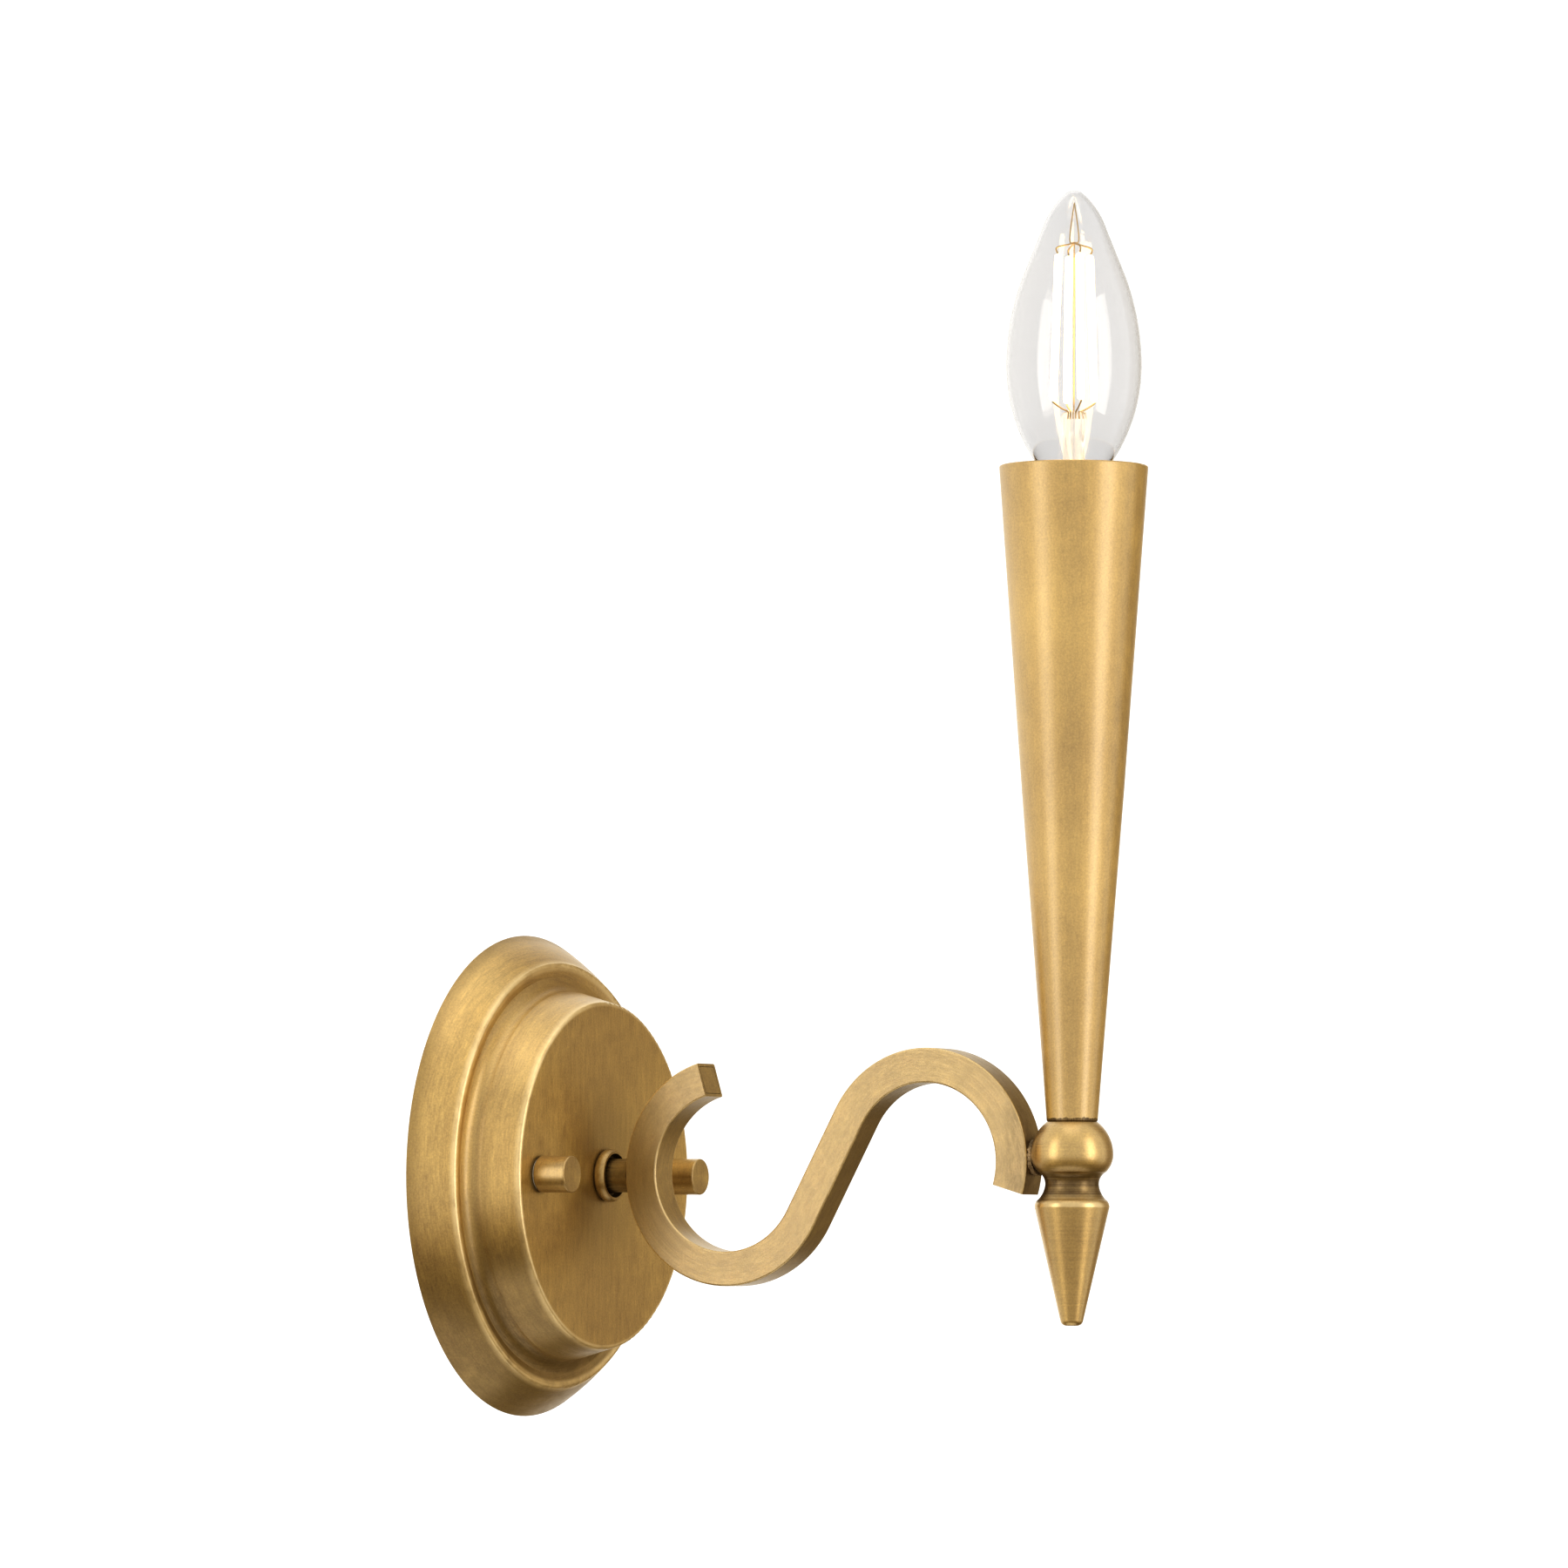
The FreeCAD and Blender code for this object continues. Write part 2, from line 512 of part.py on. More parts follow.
def swept_tube(label, corners, radius):
    """A round wire along a rounded path."""
    path = rounded_path(corners)
    start = corners[0][0]
    heading = corners[1][0] - start
    section = Part.Wire([Part.Circle(start, heading, radius).toShape()])
    solid = path.makePipeShell([section], True, False)
    expected = math.pi * radius * radius * path.Length
    if abs(solid.Volume - expected) > 0.01 * expected:
        raise RuntimeError("the sweep %s has a wrong volume" % label)
    radii = ", ".join("%.1f" % bend for place_of_bend, bend in corners[1:-1])
    print("%s: length %.1f mm, bend radii %s" % (label, path.Length, radii))
    piece = doc.addObject("Part::Feature", "Wire_" + label)
    piece.Shape = solid
    piece.Label = label
    piece.Placement = FreeCAD.Placement()
    return piece


# ---------------------------------------------------------------- wall fixing

def make_backplate():
    """The spun shell, its outline followed from the wall to the centre and back inside."""
    hole = nipple_radius + 0.3
    outline = [
        (plate_radius, 0, bevel_bow),
        (ridge_radius + ridge_round * 0.75, ridge_reach - ridge_round * 0.55, ridge_round),
        (ridge_radius - ridge_round * 0.5, ridge_reach - ridge_round * 0.1),
        (channel_radius, channel_reach, -cove_round),
        (drum_foot_radius, drum_foot_reach),
        (drum_radius + drum_round * 0.24, drum_reach - drum_round * 0.82, drum_round),
        (drum_radius - drum_round * 0.7, drum_reach),
        (hole, drum_reach),
        (hole, drum_reach - plate_wall),
        (drum_radius - plate_wall, drum_reach - plate_wall),
        (drum_foot_radius - plate_wall * 1.05, drum_foot_reach - plate_wall * 0.3,
         cove_round + plate_wall),
        (channel_radius - plate_wall * 0.2, channel_reach - plate_wall),
        (ridge_radius - plate_wall * 0.2, ridge_reach - plate_wall * 1.1),
        (plate_radius - plate_wall * 1.25, 0),
    ]
    plate = turned("backplate", outline)
    holes = [(half_spacing * side, 0, stud_hole_radius) for name, side in SIDES]
    pocket(plate, "plate_stud_holes", circles=holes)
    place(plate, rotation=OUTWARD)


def rectangle_outline(half_length, half_width, corner):
    """A rectangle about the origin with rounded corners."""
    return [
        (corner - half_length, -half_width),
        (half_length - corner, -half_width, corner),
        (half_length, corner - half_width),
        (half_length, half_width - corner, corner),
        (half_length - corner, half_width),
        (corner - half_length, half_width, corner),
        (-half_length, half_width - corner),
        (-half_length, corner - half_width, corner),
    ]


def slot_outline(middle):
    """A slot along the bar with round ends."""
    straight = slot_length / 2 - slot_radius
    return [
        (middle - straight, -slot_radius),
        (middle + straight, -slot_radius, slot_radius),
        (middle + straight + slot_radius, 0, slot_radius),
        (middle + straight, slot_radius),
        (middle - straight, slot_radius, slot_radius),
        (middle - straight - slot_radius, 0, slot_radius),
    ]


def make_crossbar():
    """The flat bar that is screwed to the wall box and carries the studs."""
    outline = rectangle_outline(bar_length / 2, bar_width / 2, bar_corner)
    bar = padded("mounting_crossbar", [outline], bar_thickness)
    holes = [(half_spacing * side, 0, stud_radius + close_gap) for name, side in SIDES]
    holes.append((0, 0, bar_centre_radius))
    holes.append((ground_across, -ground_drop, ground_radius + close_gap))
    slots = [slot_outline(box_spacing * (side * 0.5)) for name, side in SIDES]
    pocket(bar, "bar_holes", circles=holes, outlines=slots)
    place(bar, rotation=OUTWARD)


def make_stud_set(name, side):
    """One threaded stud with its lock nut, nylon washer and barrel cap nut."""
    across = half_spacing * side
    stud = turned("mounting_stud_" + name, [
        (0, stud_back),
        (stud_radius - stud_chamfer, stud_back),
        (stud_radius, stud_back + stud_chamfer),
        (stud_radius, stud_reach - stud_chamfer),
        (stud_radius - stud_chamfer, stud_reach),
        (0, stud_reach),
    ])
    place(stud, across, rotation=OUTWARD)
    hex_nut("stud_lock_nut_" + name, lock_nut_flats, stud_radius + close_gap, lock_nut_height,
            across, -bar_thickness, 0, OUTWARD)
    washer_top = drum_reach + cap_washer_height
    washer = turned("nut_washer_" + name,
                    tube_outline(cap_washer_radius, stud_radius + thread_gap, drum_reach, washer_top))
    place(washer, across, rotation=OUTWARD)
    nut = turned("cap_nut_" + name, [
        (stud_radius + thread_gap, washer_top),
        (cap_nut_radius - cap_nut_round, washer_top, cap_nut_round),
        (cap_nut_radius, washer_top + cap_nut_round),
        (cap_nut_radius, cap_nut_reach - cap_nut_round, cap_nut_round),
        (cap_nut_radius - cap_nut_round, cap_nut_reach),
        (0, cap_nut_reach),
        (0, cap_nut_bore_end),
        (stud_radius + thread_gap, cap_nut_bore_end),
    ])
    place(nut, across, rotation=OUTWARD)


def make_ground():
    """The ground screw on the crossbar and its short bare lead."""
    head_reach = bar_thickness + ground_head_height
    screw = turned("ground_screw", [
        (0, stud_back),
        (ground_radius, stud_back),
        (ground_radius, bar_thickness),
        (ground_head_radius, bar_thickness),
        (ground_head_radius, head_reach - 0.6, 0.8),
        (ground_head_radius - 0.7, head_reach),
        (0, head_reach),
    ])
    slot_width = 0.9
    slot_depth = 1.0
    half_slot = as_size(slot_width) / 2
    half_head = ground_head_radius + 0.5
    cross = [
        [(-half_head, head_reach - slot_depth), (half_head, head_reach - slot_depth),
         (half_head, head_reach + 0.5), (-half_head, head_reach + 0.5)],
    ]
    pocket(screw, "ground_screw_slot", outlines=cross, role="XZ_Plane", length=half_slot * 2)
    place(screw, ground_across, 0, -ground_drop, OUTWARD)
    across = ground_across.value
    beside = across + ground_head_radius.value + ground_lead_radius.value + 0.1
    low = -ground_drop.value
    reach = bar_thickness.value + ground_lead_radius.value + 0.05
    swept_tube("ground_lead", [
        (FreeCAD.Vector(beside, -reach, low - 4), 0),
        (FreeCAD.Vector(beside, -reach, low + 4), 3.0),
        (FreeCAD.Vector(beside - 6, -reach - 3, low + 10), 4.0),
        (FreeCAD.Vector(beside - 16, -reach - 4, low + 11), 0),
    ], ground_lead_radius.value)


# ---------------------------------------------------------------- nipple, ring and neck

def make_clamp():
    """The nipple with its nut and washer in the canopy, the centre ring and the neck."""
    nipple = turned("arm_nipple", tube_outline(nipple_radius, nipple_bore, nipple_back, nipple_front))
    place(nipple, rotation=OUTWARD)
    bore = nipple_radius + close_gap
    washer_back = drum_reach - plate_wall - canopy_washer_height
    washer = turned("canopy_washer",
                    tube_outline(canopy_washer_radius, bore, washer_back, drum_reach - plate_wall))
    place(washer, rotation=OUTWARD)
    nut_front = washer_back - canopy_nut_height
    hex_nut("canopy_nut", canopy_nut_flats, bore, canopy_nut_height, 0, -nut_front, 0, OUTWARD)
    ring_front = drum_reach + ring_length
    floor = ring_front - ring_recess_depth
    ring = turned("centre_ring", [
        (bore, drum_reach),
        (ring_shoulder, drum_reach, ring_bulge),
        (ring_shoulder, ring_front),
        (ring_recess, ring_front),
        (ring_recess_floor, floor),
        (bore, floor),
    ])
    place(ring, rotation=OUTWARD)


def make_neck():
    """The waisted sleeve over the nipple, its front end coped to the arm's curl."""
    bore = nipple_radius + close_gap
    back = drum_reach + ring_length - ring_recess_depth
    front = curl_reach - curl_radius - arm_half_depth + 1.5
    blank = turned("neck_blank", [
        (bore, back),
        (neck_end_radius, back, -neck_hollow),
        (neck_end_radius, front),
        (bore, front),
    ])
    place(blank, rotation=OUTWARD)
    outer = curl_radius + arm_half_depth + close_gap
    saddle = cylinder("neck_saddle", outer, arm_width * 2, -arm_width, -curl_reach, curl_height, SIDEWAYS)
    cut_away("neck_sleeve", blank, [saddle])


# ---------------------------------------------------------------- arm

def bend_directions():
    """The angle from +Y of the straight run between curl and arch, in degrees."""
    across = curl_reach.value - arch_reach.value
    rise = arch_height.value - curl_height.value
    distance = math.hypot(across, rise)
    crossing = math.asin((curl_radius.value + arch_radius.value) / distance)
    return math.degrees(math.atan2(rise, across) - crossing)


def on_circle(centre_reach, centre_height, radius, degrees):
    """A point (Y, Z) on a circle in the arm's plane, as two sizes."""
    return (radius * cosine(degrees) - centre_reach, radius * sine(degrees) + centre_height)


def band_outline(half_depth, start_trim=0, end_trim=0):
    """The arm's outline in its own plane: curl, straight run and arch, as a band of even depth."""
    run = bend_directions()
    curl_leave = run - 270
    arch_enter = run - 90
    start = curl_end_angle - start_trim
    finish = arch_end_angle - end_trim
    curl_middle = (start + curl_leave) / 2
    arch_middle = (finish + arch_enter) / 2
    curl_outer = curl_radius + half_depth
    curl_inner = curl_radius - half_depth
    arch_outer = arch_radius + half_depth
    arch_inner = arch_radius - half_depth
    curl = (curl_reach, curl_height)
    arch = (arch_reach, arch_height)
    return [
        (*on_circle(*curl, curl_outer, start), -curl_outer),
        (*on_circle(*curl, curl_outer, curl_middle), -curl_outer),
        on_circle(*curl, curl_outer, curl_leave),
        (*on_circle(*arch, arch_inner, arch_enter), arch_inner),
        (*on_circle(*arch, arch_inner, arch_middle), arch_inner),
        on_circle(*arch, arch_inner, finish),
        (*on_circle(*arch, arch_outer, finish), -arch_outer),
        (*on_circle(*arch, arch_outer, arch_middle), -arch_outer),
        on_circle(*arch, arch_outer, arch_enter),
        (*on_circle(*curl, curl_inner, curl_leave), curl_inner),
        (*on_circle(*curl, curl_inner, curl_middle), curl_inner),
        on_circle(*curl, curl_inner, start),
    ]


def make_arm():
    """The bent square tube with rounded long edges and holes for the nipple and the leads."""
    arm = padded("arm_blank", [band_outline(arm_half_depth)], arm_width, "YZ_Plane", True)
    doc.recompute()
    face = arm_half_width.value
    pad = arm.Tip
    long_edges = []
    for number, edge in enumerate(pad.Shape.Edges):
        box = edge.BoundBox
        on_side = box.XLength < 1e-6 and abs(abs(box.XMin) - face) < 1e-6
        if on_side and edge.Length > arm_depth.value * 1.01:
            long_edges.append("Edge%d" % (number + 1))
    rounding = arm.newObject("PartDesign::Fillet", "arm_edges")
    rounding.Base = (pad, long_edges)
    bind(rounding, Radius=arm_edge_round)
    pocket(arm, "arm_hollow", outlines=[band_outline(tube_half_depth)], role="YZ_Plane",
           length=arm_width - arm_wall * 2)
    nipple_hole = cylinder("arm_nipple_hole", nipple_radius + close_gap, arm_half_depth,
                           0, -(curl_reach - curl_radius - arm_half_depth - 1), 0, OUTWARD)
    lead_hole = cylinder("arm_lead_hole", lead_hole_radius, arm_half_depth + 2,
                         0, -(arch_reach + arch_radius), lead_hole_height, OUTWARD)
    cut_away("arm_tube", arm, [nipple_hole, lead_hole])


def make_arm_plug(label, centre, radius, degrees, inward):
    """A square plug, flush with the tube's cut end; inward is the side the tube lies on."""
    plug = doc.addObject("Part::Box", "Plug_" + label)
    plug.Label = label
    width = arm_width - arm_wall * 2 - plug_gap * 2
    depth = tube_half_depth * 2 - plug_gap * 2
    bind(plug, Length=width, Width=depth, Height=plug_length)
    # The box's local Y points along the radius and its local Z along the tube.
    turn = as_size(degrees)
    plug.Placement = FreeCAD.Placement(FreeCAD.Vector(), FreeCAD.Rotation(X_AXIS, turn.value))
    low_radius = radius - depth / 2
    back = plug_length if inward < 0 else as_size(0)
    bind(plug, **{
        "Placement.Rotation.Angle": turn,
        "Placement.Base.x": -width / 2,
        "Placement.Base.y": low_radius * cosine(turn) + back * sine(turn) - centre[0],
        "Placement.Base.z": low_radius * sine(turn) - back * cosine(turn) + centre[1],
    })


def make_arm_plugs():
    """The plugs that close both ends of the arm."""
    make_arm_plug("arm_plug_curl", (curl_reach, curl_height), curl_radius, curl_end_angle, -1)
    make_arm_plug("arm_plug_tip", (arch_reach, arch_height), arch_radius, arch_end_angle, -1)


# ---------------------------------------------------------------- candle stem

def side_hole(name, length):
    """A drill along +Y from the candle's axis, for the leads' way in."""
    return cylinder(name, lead_hole_radius, length, 0, candle_y + length, lead_hole_height, OUTWARD)


def make_ball():
    """The ball under the cup, with its cove, its seat, its bore and the leads' hole."""
    bore = rod_radius + close_gap
    ball = turned("ball_blank", [
        (bore, waist_height),
        (waist_radius, waist_height, -ball_cove_round),
        (ball_cove_radius, ball_cove_height, ball_under_round),
        (ball_radius, ball_height, ball_radius),
        (ball_seat_radius, ball_seat_height),
        (bore, ball_seat_height),
    ])
    place(ball, 0, candle_y)
    cut_away("stem_ball", ball, [side_hole("ball_side_hole", ball_radius + 2)])


def make_finial():
    """The drop finial below the ball, with a blind threaded hole for the rod."""
    bore = rod_radius + close_gap
    tip_reach = finial_tip_round * cosine(finial_draft)
    tip_rise = finial_tip_round - finial_tip_round * sine(finial_draft)
    finial = turned("finial", [
        (0, finial_bottom),
        (finial_flat, finial_bottom, finial_tip_round),
        (finial_flat + tip_reach, finial_bottom + tip_rise),
        (finial_radius, finial_edge_height, finial_edge_round),
        (finial_cove_radius, finial_cove_height, -finial_cove_round),
        (waist_radius, waist_height),
        (bore, waist_height),
        (bore, rod_hole_end),
        (0, rod_hole_end),
    ])
    place(finial, 0, candle_y)


def make_rod():
    """The hollow threaded rod that holds finial, ball, cup and socket together."""
    rod = turned("rod_blank", tube_outline(rod_radius, rod_bore, rod_bottom, rod_top))
    place(rod, 0, candle_y)
    cut_away("threaded_rod", rod, [side_hole("rod_side_hole", rod_radius + 2)])


def make_braze():
    """The collar of braze metal between the arm's arch and the ball."""
    contact_reach = arch_reach + arch_radius + arm_half_depth
    blank = cylinder("braze_blank", braze_radius, braze_length,
                     0, braze_length * 0.25 - contact_reach, lead_hole_height, OUTWARD)
    outer = arch_radius + arm_half_depth + close_gap / 2
    arch = cylinder("braze_arch", outer, arm_width * 2, -arm_width, -arch_reach, arch_height, SIDEWAYS)
    ball = doc.addObject("Part::Sphere", "braze_ball")
    bind(ball, Radius=ball_radius + close_gap / 2)
    place(ball, 0, candle_y, ball_height)
    way = cylinder("braze_way", lead_hole_radius, braze_length * 3,
                   0, braze_length - contact_reach, lead_hole_height, OUTWARD)
    cut_away("braze_collar", blank, [arch, ball, way])


def make_cup():
    """The tall tapered cup with a rounded lip and a floor, and the washer and nut that clamp it."""
    bottom = ball_seat_height
    middle = (bottom + cup_rim_height) / 2
    lip = cup_wall / 2
    rim = cup_rim_height - lip
    hole = rod_radius + 0.1
    floor = bottom + cup_wall
    cup = turned("candle_cup", [
        (hole, bottom),
        (cup_bottom_radius - cup_foot_round, bottom, cup_foot_round),
        (cup_bottom_radius, bottom + cup_foot_round),
        (cup_middle_radius, middle),
        (cup_rim_radius, rim, lip),
        (cup_rim_radius - lip, cup_rim_height, lip),
        (cup_rim_radius - cup_wall, rim),
        (cup_middle_radius - cup_wall, middle),
        (cup_bottom_radius - cup_wall, floor),
        (hole, floor),
    ])
    place(cup, 0, candle_y)
    bore = rod_radius + close_gap
    washer_top = floor + cup_washer_height
    washer = turned("cup_washer", tube_outline(cup_washer_radius, bore, floor, washer_top))
    place(washer, 0, candle_y)
    nut_top = washer_top + cup_nut_height
    nut = turned("cup_nut", tube_outline(cup_washer_radius, bore, washer_top, nut_top))
    reach = cup_washer_radius + 1
    slot = [(-reach, nut_top - cup_nut_slot), (reach, nut_top - cup_nut_slot),
            (reach, nut_top + 1), (-reach, nut_top + 1)]
    pocket(nut, "cup_nut_slots", outlines=[slot], role="XZ_Plane", length=cup_nut_slot)
    place(nut, 0, candle_y)


# ---------------------------------------------------------------- socket

def make_strap():
    """The bent strap on the rod's end that carries the socket, with its nut and screw."""
    bore = rod_radius + close_gap
    hex_nut("rod_nut", rod_nut_flats, bore, rod_nut_height, 0, candle_y, strap_height - rod_nut_height)
    leg_in = socket_radius + close_gap
    leg_out = leg_in + strap_thickness
    low = strap_height
    high = strap_height + strap_thickness
    bend = strap_thickness * 0.8
    outline = [
        (-strap_tail, low),
        (leg_out - bend, low, bend),
        (leg_out, low + bend),
        (leg_out, low + strap_leg),
        (leg_in, low + strap_leg),
        (leg_in, high),
        (-strap_tail, high),
    ]
    strap = padded("strap_blank", [outline], strap_width, "XZ_Plane", True)
    place(strap, 0, candle_y)
    hole = cylinder("strap_hole", bore, strap_thickness * 3, 0, candle_y, low - strap_thickness)
    screw_hole = cylinder("strap_screw_hole", strap_screw_radius + close_gap, strap_thickness * 3,
                          leg_in - strap_thickness, candle_y, strap_screw_height, SIDEWAYS)
    cut_away("socket_strap", strap, [hole, screw_hole])
    screw = turned("strap_screw", [
        (0, socket_cavity + 0.3),
        (strap_screw_radius, socket_cavity + 0.3),
        (strap_screw_radius, leg_out),
        (strap_screw_head, leg_out),
        (strap_screw_head, leg_out + 0.3, 0.8),
        (strap_screw_head - 0.5, leg_out + 0.9),
        (0, leg_out + 0.9),
    ])
    place(screw, 0, candle_y, strap_screw_height, SIDEWAYS)


def make_socket():
    """The moulded socket body, its screw shell, centre contact and terminal rivets."""
    floor_top = socket_floor + socket_floor_thickness
    blank = turned("socket_blank", [
        (socket_cavity, socket_bottom),
        (socket_radius, socket_bottom),
        (socket_radius, socket_top - 0.6),
        (socket_radius - 0.6, socket_top),
        (socket_bore, socket_top),
        (socket_bore, floor_top),
        (0, floor_top),
        (0, socket_floor),
        (socket_cavity, socket_floor),
    ])
    place(blank, 0, candle_y)
    screw_hole = cylinder("socket_screw_hole", strap_screw_radius + close_gap, 6,
                          socket_cavity - 2, candle_y, strap_screw_height, SIDEWAYS)
    rivet_holes = []
    for name, side in SIDES:
        rivet_holes.append(cylinder("socket_rivet_hole_" + name, rivet_radius + close_gap, 6,
                                    rivet_across * side, candle_y, socket_floor - 1))
    cut_away("socket_body", blank, [screw_hole] + rivet_holes)

    shell_bore = cap_radius + shell_gap
    shell = turned("socket_screw_shell", [
        (shell_bore, shell_bottom),
        (shell_bore + shell_wall, shell_bottom),
        (shell_bore + shell_wall, shell_top),
        (shell_bore, shell_top),
    ])
    place(shell, 0, candle_y)

    half = contact_length / 2
    base = floor_top + rivet_head_height + 0.1
    top = floor_top + contact_rise
    flat = half * 0.45
    thickness = contact_thickness
    outline = [
        (-half, base),
        (-half + 1, base),
        (-flat, top - thickness),
        (flat, top - thickness),
        (flat, top),
        (-flat - thickness / 2, top),
        (-half + 1 - thickness / 2, base + thickness),
        (-half, base + thickness),
    ]
    contact = padded("socket_contact", [outline], contact_width, "XZ_Plane", True)
    place(contact, 0, candle_y)

    rivets = []
    for name, side in SIDES:
        rivet = turned("rivet_" + name, [
            (0, socket_floor - rivet_head_height),
            (rivet_head_radius, socket_floor - rivet_head_height),
            (rivet_head_radius, socket_floor),
            (rivet_radius, socket_floor),
            (rivet_radius, floor_top),
            (rivet_head_radius, floor_top),
            (rivet_head_radius, floor_top + rivet_head_height),
            (0, floor_top + rivet_head_height),
        ])
        place(rivet, rivet_across * side, candle_y)
        rivets.append(rivet)
    group("terminal_rivets", rivets)


# ---------------------------------------------------------------- leads

def arc_corners(across, centre, radius, start, finish, pieces):
    """Corners whose tangent arcs follow a circle in a plane of constant X."""
    step = (finish - start) / pieces
    distance = radius / math.cos(math.radians(step / 2))
    corners = []
    for number in range(pieces):
        angle = math.radians(start + step * (number + 0.5))
        along = centre[0] + distance * math.cos(angle)
        up = centre[1] + distance * math.sin(angle)
        corners.append((FreeCAD.Vector(across, along, up), radius))
    return corners


def where_tangent_meets(centre, radius, degrees, height):
    """The Y where a circle's tangent at an angle reaches a height."""
    angle = math.radians(degrees)
    along = centre[0] + radius * math.cos(angle)
    up = centre[1] + radius * math.sin(angle)
    return along + (up - height) * math.tan(angle)


def make_lead(label, side):
    """One insulated lead from the canopy through nipple, arm, ball and rod to its terminal."""
    across = lead_across.value * side
    curl = (-curl_reach.value, curl_height.value)
    arch = (-arch_reach.value, arch_height.value)
    run = bend_directions()
    curl_start = -14.0
    arch_finish = 166.0
    nipple_bend = 4.0
    way_bend = 3.0
    rod_bend = 2.6
    way_height = lead_hole_height.value
    tail_reach = -lead_canopy_reach.value
    tail_across = lead_tail_across.value
    tail_rise = lead_tail_rise.value
    curl_y = where_tangent_meets(curl, curl_radius.value, curl_start, 0)
    arch_y = where_tangent_meets(arch, arch_radius.value, arch_finish, way_height)
    axis_y = candle_y.value
    terminal = socket_floor.value - rivet_head_height.value - 0.1
    corners = [
        (FreeCAD.Vector(tail_across * side, tail_reach, tail_rise), 0),
        (FreeCAD.Vector(tail_across * 0.5 * side, tail_reach, tail_rise * 0.7), 14.0),
        (FreeCAD.Vector(across, tail_reach, 0), 4.5),
        (FreeCAD.Vector(across, curl_y, 0), nipple_bend),
    ]
    corners += arc_corners(across, curl, curl_radius.value, curl_start, run - 270, 3)
    corners += arc_corners(across, arch, arch_radius.value, run - 90, arch_finish, 3)
    corners += [
        (FreeCAD.Vector(across, arch_y, way_height), way_bend),
        (FreeCAD.Vector(across, axis_y, way_height), rod_bend),
        (FreeCAD.Vector(across, axis_y, rod_top.value + 1.5), 8.0),
        (FreeCAD.Vector(rivet_across.value * side, axis_y, terminal - 6), 8.0),
        (FreeCAD.Vector(rivet_across.value * side, axis_y, terminal), 0),
    ]
    swept_tube(label, corners, lead_radius.value)


# ---------------------------------------------------------------- bulb

def glass_corners(inset):
    """The glass's outline from neck to tip, moved in by an inset along the way each corner faces."""
    tip_side_radius = glass_tip_round * cosine(glass_tip_facing)
    tip_side_drop = glass_tip_round - glass_tip_round * sine(glass_tip_facing)
    stations = [
        (glass_neck_radius, glass_neck_height, as_size(0), -neck_round),
        (shoulder_radius, shoulder_height, shoulder_facing, belly_round),
        (bulb_radius, bulb_wide_height, as_size(0), flank_round),
        (flank_low_radius, flank_low_height, flank_facing, None),
        (flank_high_radius, flank_high_height, flank_facing, nose_round),
        (tip_side_radius, bulb_top - tip_side_drop, glass_tip_facing, glass_tip_round),
    ]
    corners = []
    for radius, height, facing, arc in stations:
        corner = (radius - inset * cosine(facing), height - inset * sine(facing))
        corners.append(corner if arc is None else (*corner, arc - inset))
    corners.append((0, bulb_top - inset))
    return corners


def reversed_outline(corners):
    """The same stretch of outline followed the other way."""
    arcs = [corner[2] if len(corner) == 3 else None for corner in corners]
    points = [corner[:2] for corner in corners]
    backwards = []
    for number in range(len(points) - 1, -1, -1):
        arc = arcs[number - 1] if number > 0 else None
        backwards.append(points[number] if arc is None else (*points[number], -arc))
    return backwards


def make_bulb_glass():
    """The clear glass envelope."""
    outer = glass_corners(as_size(0))
    inner = reversed_outline(glass_corners(glass_wall))
    seat = [(glass_seat_radius, glass_bottom), (glass_seat_radius, cap_top + 0.1),
            (glass_neck_radius, cap_top + 0.1)]
    inner_seat = [(glass_seat_radius - glass_wall, cap_top + 0.1),
                  (glass_seat_radius - glass_wall, glass_bottom)]
    glass = turned("bulb_glass", seat + outer + inner + inner_seat)
    place(glass, 0, candle_y)


def make_bulb_inside():
    """The glass stem, the support wires and the glowing rods."""
    stem_foot = glass_bottom + 1
    stem = turned("bulb_stem", [
        (0, stem_foot),
        (glass_stem_foot, stem_foot),
        (glass_stem_foot - 0.3, stem_foot + 3, -9.0),
        (glass_stem_radius, stem_foot + 10),
        (glass_stem_radius, glass_stem_top - 1.5),
        (glass_stem_radius - 1, glass_stem_top),
        (0, glass_stem_top),
    ])
    place(stem, 0, candle_y)

    mast_foot = FreeCAD.Vector(0, candle_y.value, glass_stem_top.value + close_gap.value)
    mast_top = FreeCAD.Vector(0, candle_y.value, support_top.value)
    hub = FreeCAD.Vector(0, candle_y.value, support_hub.value)
    lean = math.radians(glow_lean.value)
    rods = []
    wires = [thin_wire("mast_wire", mast_foot, mast_top)]
    for number in range(4):
        turn = math.radians(45 + 90 * number)
        outward = FreeCAD.Vector(math.cos(turn), math.sin(turn), 0)
        low = outward * glow_low_circle.value + FreeCAD.Vector(0, candle_y.value, glow_bottom.value)
        direction = Z_AXIS * math.cos(lean) - outward * math.sin(lean)
        rod = doc.addObject("Part::Cylinder", "glow_rod_%d" % number)
        bind(rod, Radius=glow_radius, Height=glow_length)
        rod.Placement = FreeCAD.Placement(low, FreeCAD.Rotation(Z_AXIS, direction))
        rods.append(rod)
        high = low + direction * glow_length.value
        lower_start = mast_foot + Z_AXIS * support_radius.value
        wires.append(thin_wire("lower_wire_%d" % number, lower_start, low - direction * WIRE_OFFSET))
        wires.append(thin_wire("upper_wire_%d" % number, high + direction * WIRE_OFFSET, hub))
    group("glow_rods", rods)
    joined = doc.addObject("Part::MultiFuse", "SupportWires")
    joined.Shapes = wires
    joined.Label = "bulb_support_wires"


